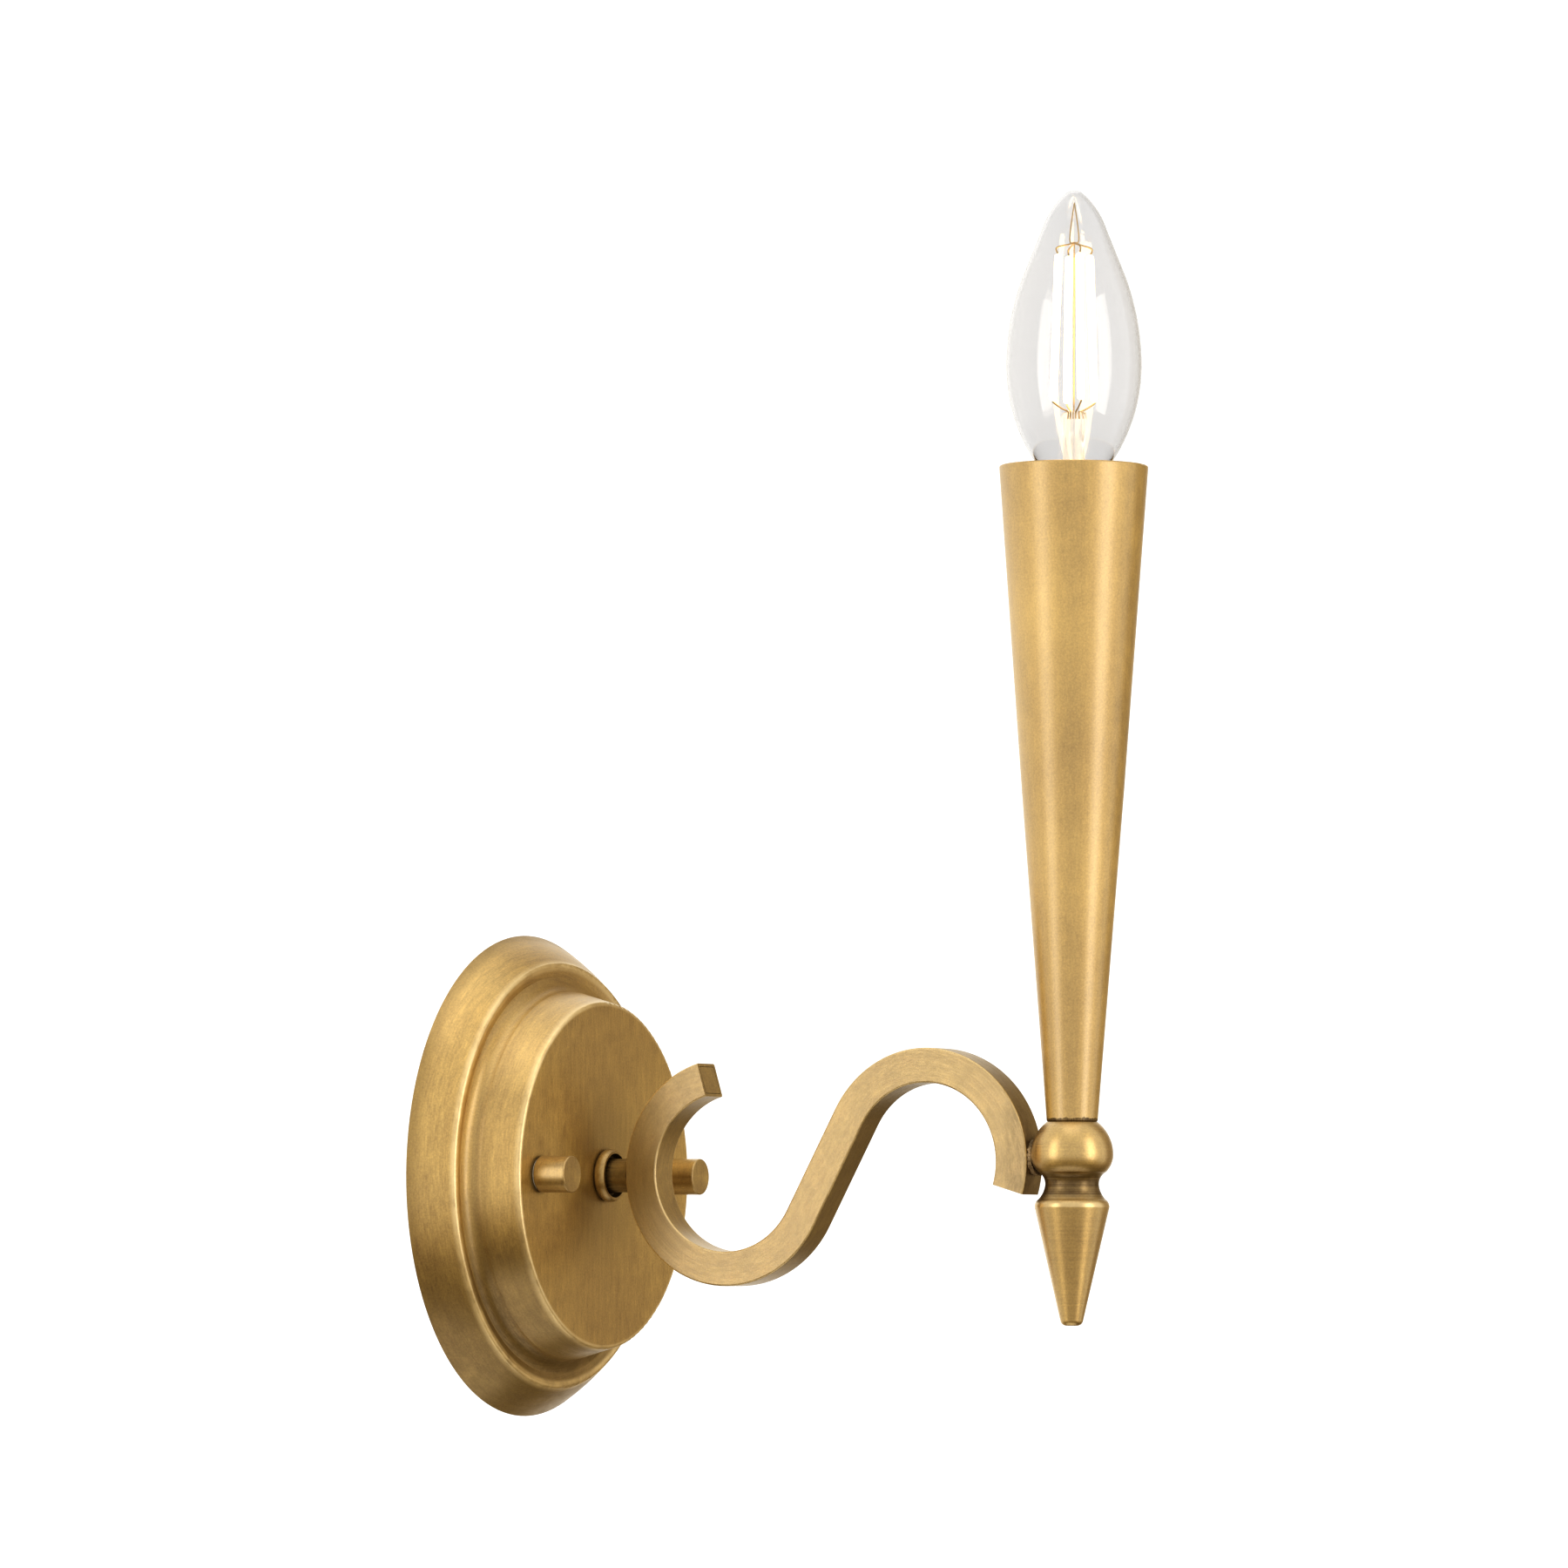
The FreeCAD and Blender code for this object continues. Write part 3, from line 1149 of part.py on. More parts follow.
def thin_wire(name, start, finish):
    """A straight support wire between two points."""
    wire = doc.addObject("Part::Cylinder", name)
    bind(wire, Radius=support_radius)
    wire.Height = (finish - start).Length
    wire.Placement = FreeCAD.Placement(start, FreeCAD.Rotation(Z_AXIS, finish - start))
    return wire


def make_bulb_cap():
    """The screw cap, the insulator and the centre contact."""
    inner = cap_radius - cap_wall
    cap = turned("bulb_screw_cap", [
        (inner, cap_bottom),
        (cap_radius, cap_bottom),
        (cap_radius, cap_top),
        (inner, cap_top),
    ])
    place(cap, 0, candle_y)
    insulator = turned("bulb_insulator", [
        (0, insulator_bottom),
        (insulator_radius, insulator_bottom),
        (cap_radius - 0.3, cap_bottom - close_gap),
        (inner - close_gap, cap_bottom - close_gap),
        (inner - close_gap, cap_bottom + 1.5),
        (0, cap_bottom + 1.5),
    ])
    place(insulator, 0, candle_y)
    tip = turned("bulb_contact", [
        (0, tip_bottom),
        (tip_radius - 0.5, tip_bottom, 0.6),
        (tip_radius, tip_bottom + 0.5),
        (tip_radius, insulator_bottom - close_gap),
        (0, insulator_bottom - close_gap),
    ])
    place(tip, 0, candle_y)


# ---------------------------------------------------------------- build and export

NODES = [
    "backplate", "mounting_crossbar",
    "mounting_stud_left", "mounting_stud_right",
    "stud_lock_nut_left", "stud_lock_nut_right",
    "nut_washer_left", "nut_washer_right",
    "cap_nut_left", "cap_nut_right",
    "ground_screw", "ground_lead",
    "arm_nipple", "canopy_washer", "canopy_nut", "centre_ring", "neck_sleeve",
    "arm_tube", "arm_plug_curl", "arm_plug_tip",
    "stem_ball", "finial", "threaded_rod", "braze_collar",
    "candle_cup", "cup_washer", "cup_nut",
    "rod_nut", "socket_strap", "strap_screw",
    "socket_body", "socket_screw_shell", "socket_contact", "terminal_rivets",
    "black_lead", "white_lead",
    "bulb_glass", "bulb_stem", "glow_rods", "bulb_support_wires",
    "bulb_screw_cap", "bulb_insulator", "bulb_contact",
]


def build_all():
    """Makes every sub-part in the document."""
    make_backplate()
    make_crossbar()
    for name, side in SIDES:
        make_stud_set(name, side)
    make_ground()
    make_clamp()
    make_neck()
    make_arm()
    make_arm_plugs()
    make_ball()
    make_finial()
    make_rod()
    make_braze()
    make_cup()
    make_strap()
    make_socket()
    make_lead("black_lead", 1)
    make_lead("white_lead", -1)
    make_bulb_glass()
    make_bulb_inside()
    make_bulb_cap()
    doc.recompute()


def check_all():
    """Stops if any object failed or any sub-part is missing, empty or invalid."""
    for item in doc.Objects:
        if "Invalid" in item.State or "Error" in item.State:
            raise RuntimeError("%s failed: %s" % (item.Label, item.State))
    for node in NODES:
        found = doc.getObjectsByLabel(node)
        if len(found) != 1:
            raise RuntimeError("%s is there %d times" % (node, len(found)))
        shape = found[0].Shape
        if shape.isNull() or not shape.isValid() or not shape.Solids:
            raise RuntimeError("%s has a bad shape" % node)


def export_all():
    """Writes one STEP file per sub-part."""
    os.makedirs("parts", exist_ok=True)
    for node in NODES:
        doc.getObjectsByLabel(node)[0].Shape.exportStep("parts/%s.step" % node)


build_all()
check_all()
export_all()
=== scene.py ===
import json
import math
import random

import bmesh
import bpy
from mathutils import Matrix, Vector


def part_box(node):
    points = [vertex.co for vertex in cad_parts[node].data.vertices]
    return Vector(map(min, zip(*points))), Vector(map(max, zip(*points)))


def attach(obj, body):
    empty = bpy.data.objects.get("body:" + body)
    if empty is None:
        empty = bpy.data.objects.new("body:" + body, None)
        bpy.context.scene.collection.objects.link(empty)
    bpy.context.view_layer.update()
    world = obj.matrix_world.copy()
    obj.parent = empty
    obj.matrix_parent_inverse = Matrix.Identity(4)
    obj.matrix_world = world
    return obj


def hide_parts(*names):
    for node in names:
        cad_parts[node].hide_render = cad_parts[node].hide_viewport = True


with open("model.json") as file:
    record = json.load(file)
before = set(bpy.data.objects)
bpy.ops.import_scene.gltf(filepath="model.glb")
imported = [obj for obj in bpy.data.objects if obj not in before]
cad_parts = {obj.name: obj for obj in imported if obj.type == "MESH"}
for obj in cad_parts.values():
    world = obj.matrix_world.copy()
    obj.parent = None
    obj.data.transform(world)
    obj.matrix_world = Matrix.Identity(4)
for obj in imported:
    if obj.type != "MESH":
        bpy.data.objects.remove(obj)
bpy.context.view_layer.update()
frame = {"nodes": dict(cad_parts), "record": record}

# Visual model of the brass wall sconce.  Metres, +Z up, wall plane Y = 0, the sconce along -Y.

# ---------------------------------------------------------------- places

MM = 0.001
SLOTS = {part["node"]: part["material_slot"] for part in frame["record"]["subparts"]}
NODES = frame["nodes"]


def low(node):
    return Vector(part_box(node)[0])


def high(node):
    return Vector(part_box(node)[1])


def middle(node):
    return (low(node) + high(node)) / 2


CANDLE = Vector((0.0, middle("candle_cup").y, 0.0))
CUP_RADIUS = 13.0 * MM  # halfway up
PLATE_RADIUS = high("backplate").x
DRUM_FACE = low("backplate").y
SKIN = 0.1 * MM  # how far past a face a mask starts


# ---------------------------------------------------------------- node graphs

class Graph:
    """A material's node tree with short calls for its nodes."""

    def __init__(self, name):
        self.material = bpy.data.materials.new(name)
        self.material.use_nodes = True
        self.tree = self.material.node_tree
        self.shader = self.tree.nodes["Principled BSDF"]
        self.output = self.tree.nodes["Material Output"]

    @classmethod
    def for_world(cls, world):
        """A graph that fills a world's node tree."""
        graph = cls.__new__(cls)
        world.use_nodes = True
        graph.tree = world.node_tree
        graph.tree.nodes.clear()
        return graph

    def put(self, socket, value):
        """Links a socket to an output, or sets its plain value."""
        if isinstance(value, bpy.types.NodeSocket):
            self.tree.links.new(value, socket)
        elif isinstance(value, (tuple, list, Vector)) and len(value) == 3 and socket.type == "RGBA":
            socket.default_value = (*value, 1.0)
        else:
            socket.default_value = value

    def node(self, kind, **inputs):
        made = self.tree.nodes.new(kind)
        for name, value in inputs.items():
            self.put(made.inputs[name.replace("_", " ")], value)
        return made

    def math(self, operation, *values):
        made = self.tree.nodes.new("ShaderNodeMath")
        made.operation = operation
        for socket, value in zip(made.inputs, values):
            self.put(socket, value)
        return made.outputs[0]

    def times(self, *values):
        """The product of its values."""
        product = values[0]
        for value in values[1:]:
            product = self.math("MULTIPLY", product, value)
        return product

    def largest(self, *values):
        found = values[0]
        for value in values[1:]:
            found = self.math("MAXIMUM", found, value)
        return found

    def inverse(self, value):
        """One less the value."""
        return self.math("SUBTRACT", 1.0, value)

    def varied(self, base, *patterns):
        """base moved up and down by noise patterns, each given with its weight."""
        for pattern, weight in patterns:
            base = self.math("MULTIPLY_ADD", self.math("SUBTRACT", pattern, 0.5), weight, base)
        return base

    def vector(self, operation, *values):
        made = self.tree.nodes.new("ShaderNodeVectorMath")
        made.operation = operation
        for socket, value in zip(made.inputs, values):
            self.put(socket, value)
        return made.outputs["Value"] if operation in ("LENGTH", "DOT_PRODUCT") else made.outputs[0]

    def scaled(self, vector, factor):
        made = self.tree.nodes.new("ShaderNodeVectorMath")
        made.operation = "SCALE"
        self.put(made.inputs[0], vector)
        self.put(made.inputs["Scale"], factor)
        return made.outputs[0]

    def place(self):
        """The point being shaded, in the row frame, in metres."""
        return self.node("ShaderNodeTexCoord").outputs["Object"]

    def split(self, vector):
        return self.node("ShaderNodeSeparateXYZ", Vector=vector).outputs

    def join(self, x, y, z):
        return self.node("ShaderNodeCombineXYZ", X=x, Y=y, Z=z).outputs[0]

    def noise(self, vector, scale, detail=2.0, rough=0.5):
        """Noise with scale waves a metre."""
        made = self.node("ShaderNodeTexNoise", Vector=vector, Scale=scale, Detail=detail, Roughness=rough)
        return made.outputs[0]

    def ramp(self, value, start, end, low_value=0.0, high_value=1.0):
        """A smooth step of value from start to end."""
        made = self.node("ShaderNodeMapRange", Value=value, From_Min=start, From_Max=end,
                         To_Min=low_value, To_Max=high_value)
        made.interpolation_type = "SMOOTHSTEP"
        return made.outputs[0]

    def band(self, value, centre, half_width, soft):
        """1 within half_width of centre, fading to 0 over soft."""
        away = self.math("ABSOLUTE", self.math("SUBTRACT", value, centre))
        return self.ramp(away, half_width, half_width + soft, 1.0, 0.0)

    def blend(self, factor, first, second):
        made = self.tree.nodes.new("ShaderNodeMix")
        made.data_type = "RGBA"
        for index, value in ((0, factor), (6, first), (7, second)):
            self.put(made.inputs[index], value)
        return made.outputs[2]

    def bump(self, height, distance, strength=1.0):
        made = self.node("ShaderNodeBump", Height=height, Distance=distance, Strength=strength)
        return made.outputs[0]

    def finish(self, **inputs):
        """Sets the shader's inputs and returns the material."""
        for name, value in inputs.items():
            self.put(self.shader.inputs[name.replace("_", " ")], value)
        return self.material


# ---------------------------------------------------------------- grain

STREAK_CHANGE = 0.12  # how fast a streak changes along itself, against across itself
ARM_STREAK_CHANGE = 0.2
STEM_STREAK_CHANGE = 0.05


def about_candle(graph, place):
    """Across the candle's axis: (x, y) from the axis, as a flat vector."""
    return graph.vector("MULTIPLY", graph.vector("SUBTRACT", place, CANDLE), (1, 1, 0))


def upright_grain(graph, place):
    """Streaks that run up a turned piece, without a seam."""
    around = graph.vector("NORMALIZE", about_candle(graph, place))
    height = graph.times(graph.split(place)[2], STREAK_CHANGE)
    return graph.vector("MULTIPLY_ADD", around, (CUP_RADIUS, CUP_RADIUS, 0.0), graph.join(0.0, 0.0, height))


def turned_grain(graph, place):
    """Turned lines round the candle's axis."""
    radius = graph.vector("LENGTH", about_candle(graph, place))
    return graph.join(radius, graph.split(place)[2], 0.0)


def wall_radius(graph, place):
    """Distance from the plate's axis."""
    x, _, z = graph.split(place)
    return graph.vector("LENGTH", graph.join(x, 0.0, z))


def spun_about_wall_axis(graph, place):
    """Fine turned lines round the plate's axis."""
    x, y, z = graph.split(place)
    around = graph.scaled(graph.join(x, 0.0, z), STREAK_CHANGE)
    return graph.vector("ADD", graph.join(wall_radius(graph, place), y, 0.0), around)


def plate_grain(graph, place):
    """The drum's face has straight upright grain and the rest has turned lines."""
    x, y, z = graph.split(place)
    face = graph.math("LESS_THAN", y, DRUM_FACE + 0.15 * MM)
    upright = graph.join(x, 0.0, graph.times(z, STREAK_CHANGE))
    return graph.vector("ADD", graph.scaled(upright, face),
                        graph.scaled(spun_about_wall_axis(graph, place), graph.inverse(face)))


# ---------------------------------------------------------------- the arm's path

CURL_CENTRE = Vector((0.0, -61.9 * MM, 0.8 * MM))
ARCH_CENTRE = Vector((0.0, -120.25 * MM, 3.4 * MM))
CURL_RADIUS = 25.2 * MM
ARCH_RADIUS = 25.0 * MM
ARM_HALF_WIDTH = high("arm_tube").x
ARM_HALF_DEPTH = 4.5 * MM
CURL_REACH = 6.0 * MM  # how far before the run a point can only be on the curl


def straight_run():
    """(start, direction, normal, length) of the arm's straight run between curl and arch."""
    between = ARCH_CENTRE - CURL_CENTRE
    lean = math.acos((CURL_RADIUS + ARCH_RADIUS) / between.length)
    normal = Matrix.Rotation(lean, 3, "X") @ between.normalized()
    start = CURL_CENTRE + normal * CURL_RADIUS
    finish = ARCH_CENTRE - normal * ARCH_RADIUS
    return start, (finish - start).normalized(), normal, (finish - start).length


def distance_from(graph, flat, centre):
    return graph.vector("LENGTH", graph.vector("SUBTRACT", flat, centre))


def arm_offset(graph, place):
    """Signed distance from the arm's centre line, in the arm's plane."""
    _, y, z = graph.split(place)
    flat = graph.join(0.0, y, z)
    start, ahead, normal, length = straight_run()
    from_start = graph.vector("SUBTRACT", flat, start)
    along = graph.vector("DOT_PRODUCT", from_start, ahead)
    from_run = graph.vector("DOT_PRODUCT", from_start, normal)
    from_curl = graph.math("SUBTRACT", distance_from(graph, flat, CURL_CENTRE), CURL_RADIUS)
    from_arch = graph.math("SUBTRACT", ARCH_RADIUS, distance_from(graph, flat, ARCH_CENTRE))
    at_curl = graph.largest(graph.math("LESS_THAN", along, 0.0),
                            graph.math("GREATER_THAN", y, start.y + CURL_REACH))
    at_arch = graph.times(graph.math("GREATER_THAN", along, length), graph.inverse(at_curl))
    at_run = graph.inverse(graph.math("ADD", at_curl, at_arch))
    offset = graph.times(from_curl, at_curl)
    offset = graph.math("MULTIPLY_ADD", from_arch, at_arch, offset)
    return graph.math("MULTIPLY_ADD", from_run, at_run, offset)


def arm_grain(graph, place):
    """Streaks along the arm."""
    x, y, z = graph.split(place)
    along = graph.times(graph.math("SUBTRACT", z, y), ARM_STREAK_CHANGE)
    return graph.join(x, arm_offset(graph, place), along)


# ---------------------------------------------------------------- patina, painted shade, painted highlights and rubbed metal

COVE_RADIUS = 50.4 * MM
RIDGE_RADIUS = 55.4 * MM
DRUM_EDGE_RADIUS = 45.3 * MM
RING_BORE = 5.7 * MM
STEM_WAIST = -2.48 * MM
STEM_COVE = -2.6 * MM
FINIAL_EDGE = -7.6 * MM


def plate_dark(graph, place):
    """Darkening: patina in the cove, deeper lower down as painted shade, and a darker rim on the flange;
    painted shade low on the flange and drum side, on the drum face's middle and on the neck inside the ring.
    """
    _, y, z = graph.split(place)
    radius = wall_radius(graph, place)
    behind_face = graph.math("GREATER_THAN", y, DRUM_FACE + SKIN)
    at_face = graph.math("LESS_THAN", y, DRUM_FACE + SKIN)
    before_face = graph.math("LESS_THAN", y, DRUM_FACE - SKIN)
    # Patina in the cove, laid heavier lower down as painted shade.
    cove = graph.times(graph.band(radius, COVE_RADIUS, 1.2 * MM, 2.2 * MM),
                       graph.ramp(z, 15.0 * MM, -40.0 * MM, 0.15, 0.58))
    rim = graph.times(graph.ramp(radius, PLATE_RADIUS - 2.5 * MM, PLATE_RADIUS), 0.35)
    # Painted shade: darker towards the bottom on the flange and drum side.
    below = graph.times(graph.ramp(z, -4.0 * MM, -40.0 * MM, 0.0, 0.42), behind_face)
    # Painted shade on the drum face's middle, darker towards the ring.
    hub = graph.times(graph.ramp(radius, 32.0 * MM, 8.0 * MM, 0.0, 0.3), at_face)
    # Painted shade on the neck inside the ring.
    neck = graph.times(graph.ramp(y, -26.2 * MM, -28.5 * MM, 0.97, 0.6),
                       graph.ramp(radius, RING_BORE, RING_BORE + 0.15 * MM, 1.0, 0.0), before_face)
    return graph.largest(cove, rim, below, hub, neck)


def plate_bright(graph, place):
    """Painted highlights on the ridge and on the drum's front edge, standing for rubbed metal too."""
    radius = wall_radius(graph, place)
    ridge = graph.band(radius, RIDGE_RADIUS, 0.6 * MM, 1.2 * MM)
    edge = graph.band(radius, DRUM_EDGE_RADIUS, 0.25 * MM, 0.7 * MM)
    return graph.times(graph.largest(ridge, edge), 0.95)


def arm_bright(graph, place):
    """Painted highlights on the long edges, standing for rubbed metal too, and a paler painted sheen on the
    two flat sides.
    """
    across = graph.math("ABSOLUTE", graph.split(place)[0])
    offset = graph.math("ABSOLUTE", arm_offset(graph, place))
    # Painted highlights on the long edges, standing for rubbed metal too.
    edge = graph.times(graph.ramp(across, ARM_HALF_WIDTH - 0.6 * MM, ARM_HALF_WIDTH - 0.15 * MM),
                       graph.ramp(offset, ARM_HALF_DEPTH - 0.65 * MM, ARM_HALF_DEPTH - 0.15 * MM), 0.75)
    # Painted sheen: the flat sides paler.
    side = graph.times(graph.ramp(across, ARM_HALF_WIDTH - 0.2 * MM, ARM_HALF_WIDTH - 0.05 * MM), 0.15)
    return graph.largest(edge, side)


def arm_dark(graph, place):
    """Darkening: light on the flat sides, heavier on the faces away from the wall and at the joint."""
    x, y, z = graph.split(place)
    side = graph.ramp(graph.math("ABSOLUTE", x), ARM_HALF_WIDTH - 0.45 * MM, ARM_HALF_WIDTH - 0.05 * MM)
    at_curl = graph.ramp(y, -65.0 * MM, -40.0 * MM, 0.0, 0.16)
    at_arch = graph.ramp(y, -85.0 * MM, -110.0 * MM, 0.28, 0.36)
    on_side = graph.times(side, graph.math("ADD", at_curl, at_arch))
    between = graph.times(graph.inverse(side), graph.ramp(y, -100.0 * MM, -75.0 * MM, 0.45, 0.1))
    joint = graph.times(graph.ramp(y, -134.0 * MM, -147.0 * MM), graph.ramp(z, 30.0 * MM, 16.0 * MM), 0.5)
    return graph.largest(graph.math("ADD", on_side, between), joint)


def cup_dark(graph, place):
    """A thin dark seam with small chips at the cup's foot."""
    foot = low("candle_cup").z
    chips = graph.times(graph.noise(place, 900.0), 1.1 * MM)
    height = graph.math("SUBTRACT", graph.split(place)[2], chips)
    return graph.ramp(height, foot + 0.15 * MM, foot + 0.3 * MM, 0.8, 0.0)


def stem_dark(graph, place):
    """Patina and painted shade in the cove under the ball, between ball and finial, with a darker line at
    their joint.
    """
    height = graph.split(place)[2]
    line = graph.times(graph.band(height, STEM_WAIST, 0.12 * MM, 0.4 * MM), 0.8)
    # Patina and painted shade in the cove under the ball.
    cove = graph.times(graph.band(height, STEM_COVE, 1.6 * MM, 3.4 * MM), 0.78)
    return graph.largest(line, cove)


def stem_bright(graph, place):
    """Painted highlight on the finial's widest edge, standing for rubbed metal too."""
    return graph.times(graph.band(graph.split(place)[2], FINIAL_EDGE, 0.35 * MM, 0.6 * MM), 0.5)


# ---------------------------------------------------------------- brass

BRASS_LIGHT = (0.80, 0.575, 0.185)
BRASS_DARK = (0.36, 0.205, 0.034)
# Pale brass laid on as painted highlights, standing for rubbed metal too.
BRASS_RUBBED_AND_HIGHLIT = (0.92, 0.74, 0.40)
# Patina's colour, also laid on as painted shade in recesses.
PATINA_AND_SHADE = (0.085, 0.042, 0.009)
COAT_IOR = 2.3
COAT_ROUGHNESS = 0.32


def patina_and_shade_cover(graph, place, recess, dark, unevenness):
    """How much patina and painted shade cover a point: painted shade in recesses, found by ambient
    occlusion, and where dark(graph, place) says, with ragged edges.
    """
    # Ambient occlusion darkens what is hidden: painted shade in recesses.
    hidden = graph.node("ShaderNodeAmbientOcclusion", Distance=recess)
    hidden.samples = 6
    patina_and_shade = graph.ramp(hidden.outputs["AO"], 0.3, 0.9, 0.7, 0.0)
    if dark is not None:
        patina_and_shade = graph.largest(patina_and_shade, dark(graph, place))
    return graph.math("MINIMUM", graph.times(patina_and_shade, graph.ramp(unevenness, 0.75, 1.2, 0.7, 1.1)), 1.0)


def brass(name, grain, tangent_axis=None, turn=0.0, dark=None, bright=None, tone=1.0, rough=0.42,
          streakiness=1.0, recess=2.0 * MM, gloss=1.0):
    """Aged satin brass.  grain gives the brushing's coordinates, and dark and bright give masks: dark of
    patina and darker places, bright of painted highlights, standing for rubbed metal too.
    """
    graph = Graph(name)
    place = graph.place()
    brushing = grain(graph, place)
    thin = graph.noise(brushing, 2600.0, 3.0, 0.65)
    thick = graph.noise(brushing, 700.0, 2.0, 0.6)
    specks = graph.noise(place, 1900.0, 3.0, 0.7)
    blotches = graph.noise(place, 170.0, 4.0, 0.62)
    clouds = graph.noise(place, 26.0, 3.0, 0.5)

    shade = graph.varied(0.6, (thin, 1.15 * streakiness), (thick, 0.75 * streakiness), (specks, 0.9),
                         (blotches, 0.55), (clouds, 0.7))
    shade = graph.math("MINIMUM", graph.largest(shade, 0.0), 1.0)
    colour = graph.blend(shade, [channel * tone for channel in BRASS_DARK],
                         [channel * tone for channel in BRASS_LIGHT])
    # Patina and painted shade darken the colour.
    patina_and_shade = patina_and_shade_cover(graph, place, recess, dark, graph.math("ADD", blotches, thin))
    colour = graph.blend(patina_and_shade, colour, PATINA_AND_SHADE)
    # Painted highlights, standing for rubbed metal too.
    if bright is not None:
        worn_and_highlit = graph.times(bright(graph, place), graph.ramp(blotches, 0.3, 0.6, 0.55, 1.0))
        colour = graph.blend(worn_and_highlit, colour, BRASS_RUBBED_AND_HIGHLIT)

    roughness = graph.math("MULTIPLY_ADD", patina_and_shade, 0.15, graph.varied(rough, (thin, 0.4), (blotches, 0.25)))
    relief = graph.math("ADD", graph.times(thin, 0.5 * streakiness), graph.times(specks, 0.25))
    clear = graph.math("MULTIPLY_ADD", patina_and_shade, -0.85, 1.0)
    graph.finish(Base_Color=colour, Metallic=1.0, Roughness=roughness, Normal=graph.bump(relief, 0.09 * MM),
                 Coat_Weight=graph.times(clear, gloss), Coat_Roughness=COAT_ROUGHNESS, Coat_IOR=COAT_IOR)
    if tangent_axis is not None:
        tangent = graph.tree.nodes.new("ShaderNodeTangent")
        tangent.direction_type = "RADIAL"
        tangent.axis = tangent_axis
        graph.finish(Anisotropic=0.45, Anisotropic_Rotation=turn, Tangent=tangent.outputs[0])
    return graph.material


# ---------------------------------------------------------------- other materials

def plain(name, colour, metallic, rough, scale=700.0, depth=0.04 * MM, variation=0.15):
    """A material with fine surface grain, mottled tone and uneven roughness."""
    graph = Graph(name)
    place = graph.place()
    grain = graph.noise(place, scale, 4.0, 0.6)
    mottle = graph.noise(place, scale * 0.12, 3.0, 0.6)
    darker = [channel * (1.0 - variation * 2.0) for channel in colour]
    shade = graph.varied(mottle, (grain, 0.5))
    mottled = graph.blend(graph.ramp(shade, 0.3, 0.7), darker, colour)
    return graph.finish(Base_Color=mottled, Metallic=metallic,
                        Roughness=graph.varied(rough, (shade, 0.3)), Normal=graph.bump(grain, depth))


GLASS_TINT = (0.86, 0.855, 0.85)
GLASS_SHADE = (0.52, 0.5, 0.48)
STEM_REACH = 4.6 * MM  # radius that the glass stem stays within


def glass(name):
    """Clear bulb glass with faint ripples and dust, and a painted warm glow: faint in a band about the rods'
    height, stronger in the stem near the axis, for the rods' light caught in the glass.
    """
    graph = Graph(name)
    place = graph.place()
    ripple = graph.noise(place, 90.0)
    dust = graph.noise(place, 1500.0)
    height = graph.split(place)[2]
    across = about_candle(graph, place)
    # Painted glow: faint warm emission in a band about the rods' height.
    painted_glow_band = graph.times(graph.band(height, middle("glow_rods").z, 14.0 * MM, 18.0 * MM), 0.006)
    upward = graph.join(0.0, 0.0, graph.times(height, STEM_STREAK_CHANGE))
    streaks = graph.noise(graph.vector("ADD", across, upward), 900.0)
    stem_end = high("bulb_stem").z + 2.0 * MM
    in_stem = graph.times(graph.ramp(graph.vector("LENGTH", across), STEM_REACH, STEM_REACH - 0.7 * MM),
                          graph.ramp(height, stem_end, stem_end + 1.0 * MM, 1.0, 0.0))
    # Painted glow in the stem near the axis, streaked.
    lit = graph.times(in_stem, graph.ramp(streaks, 0.3, 0.6, 0.1, 1.0), 0.35)
    graph.finish(Base_Color=GLASS_TINT, Roughness=graph.ramp(dust, 0.55, 0.8, 0.0, 0.015),
                 Transmission_Weight=1.0, IOR=1.47, Normal=graph.bump(ripple, 0.03 * MM, 0.3),
                 Emission_Color=(1.0, 0.78, 0.52), Emission_Strength=graph.math("ADD", painted_glow_band, lit))
    tinted = graph.node("ShaderNodeVolumeAbsorption", Color=GLASS_SHADE, Density=60.0)
    graph.tree.links.new(tinted.outputs[0], graph.output.inputs["Volume"])
    return graph.material


def glow(name):
    """Warm lit coating with small grains."""
    graph = Graph(name)
    grains = graph.noise(graph.place(), 2500.0)
    tint = graph.blend(grains, (1.0, 0.62, 0.26), (1.0, 0.82, 0.5))
    return graph.finish(Base_Color=tint, Roughness=0.5, Emission_Color=tint, Emission_Strength=9.0,
                        Normal=graph.bump(grains, 0.08 * MM))


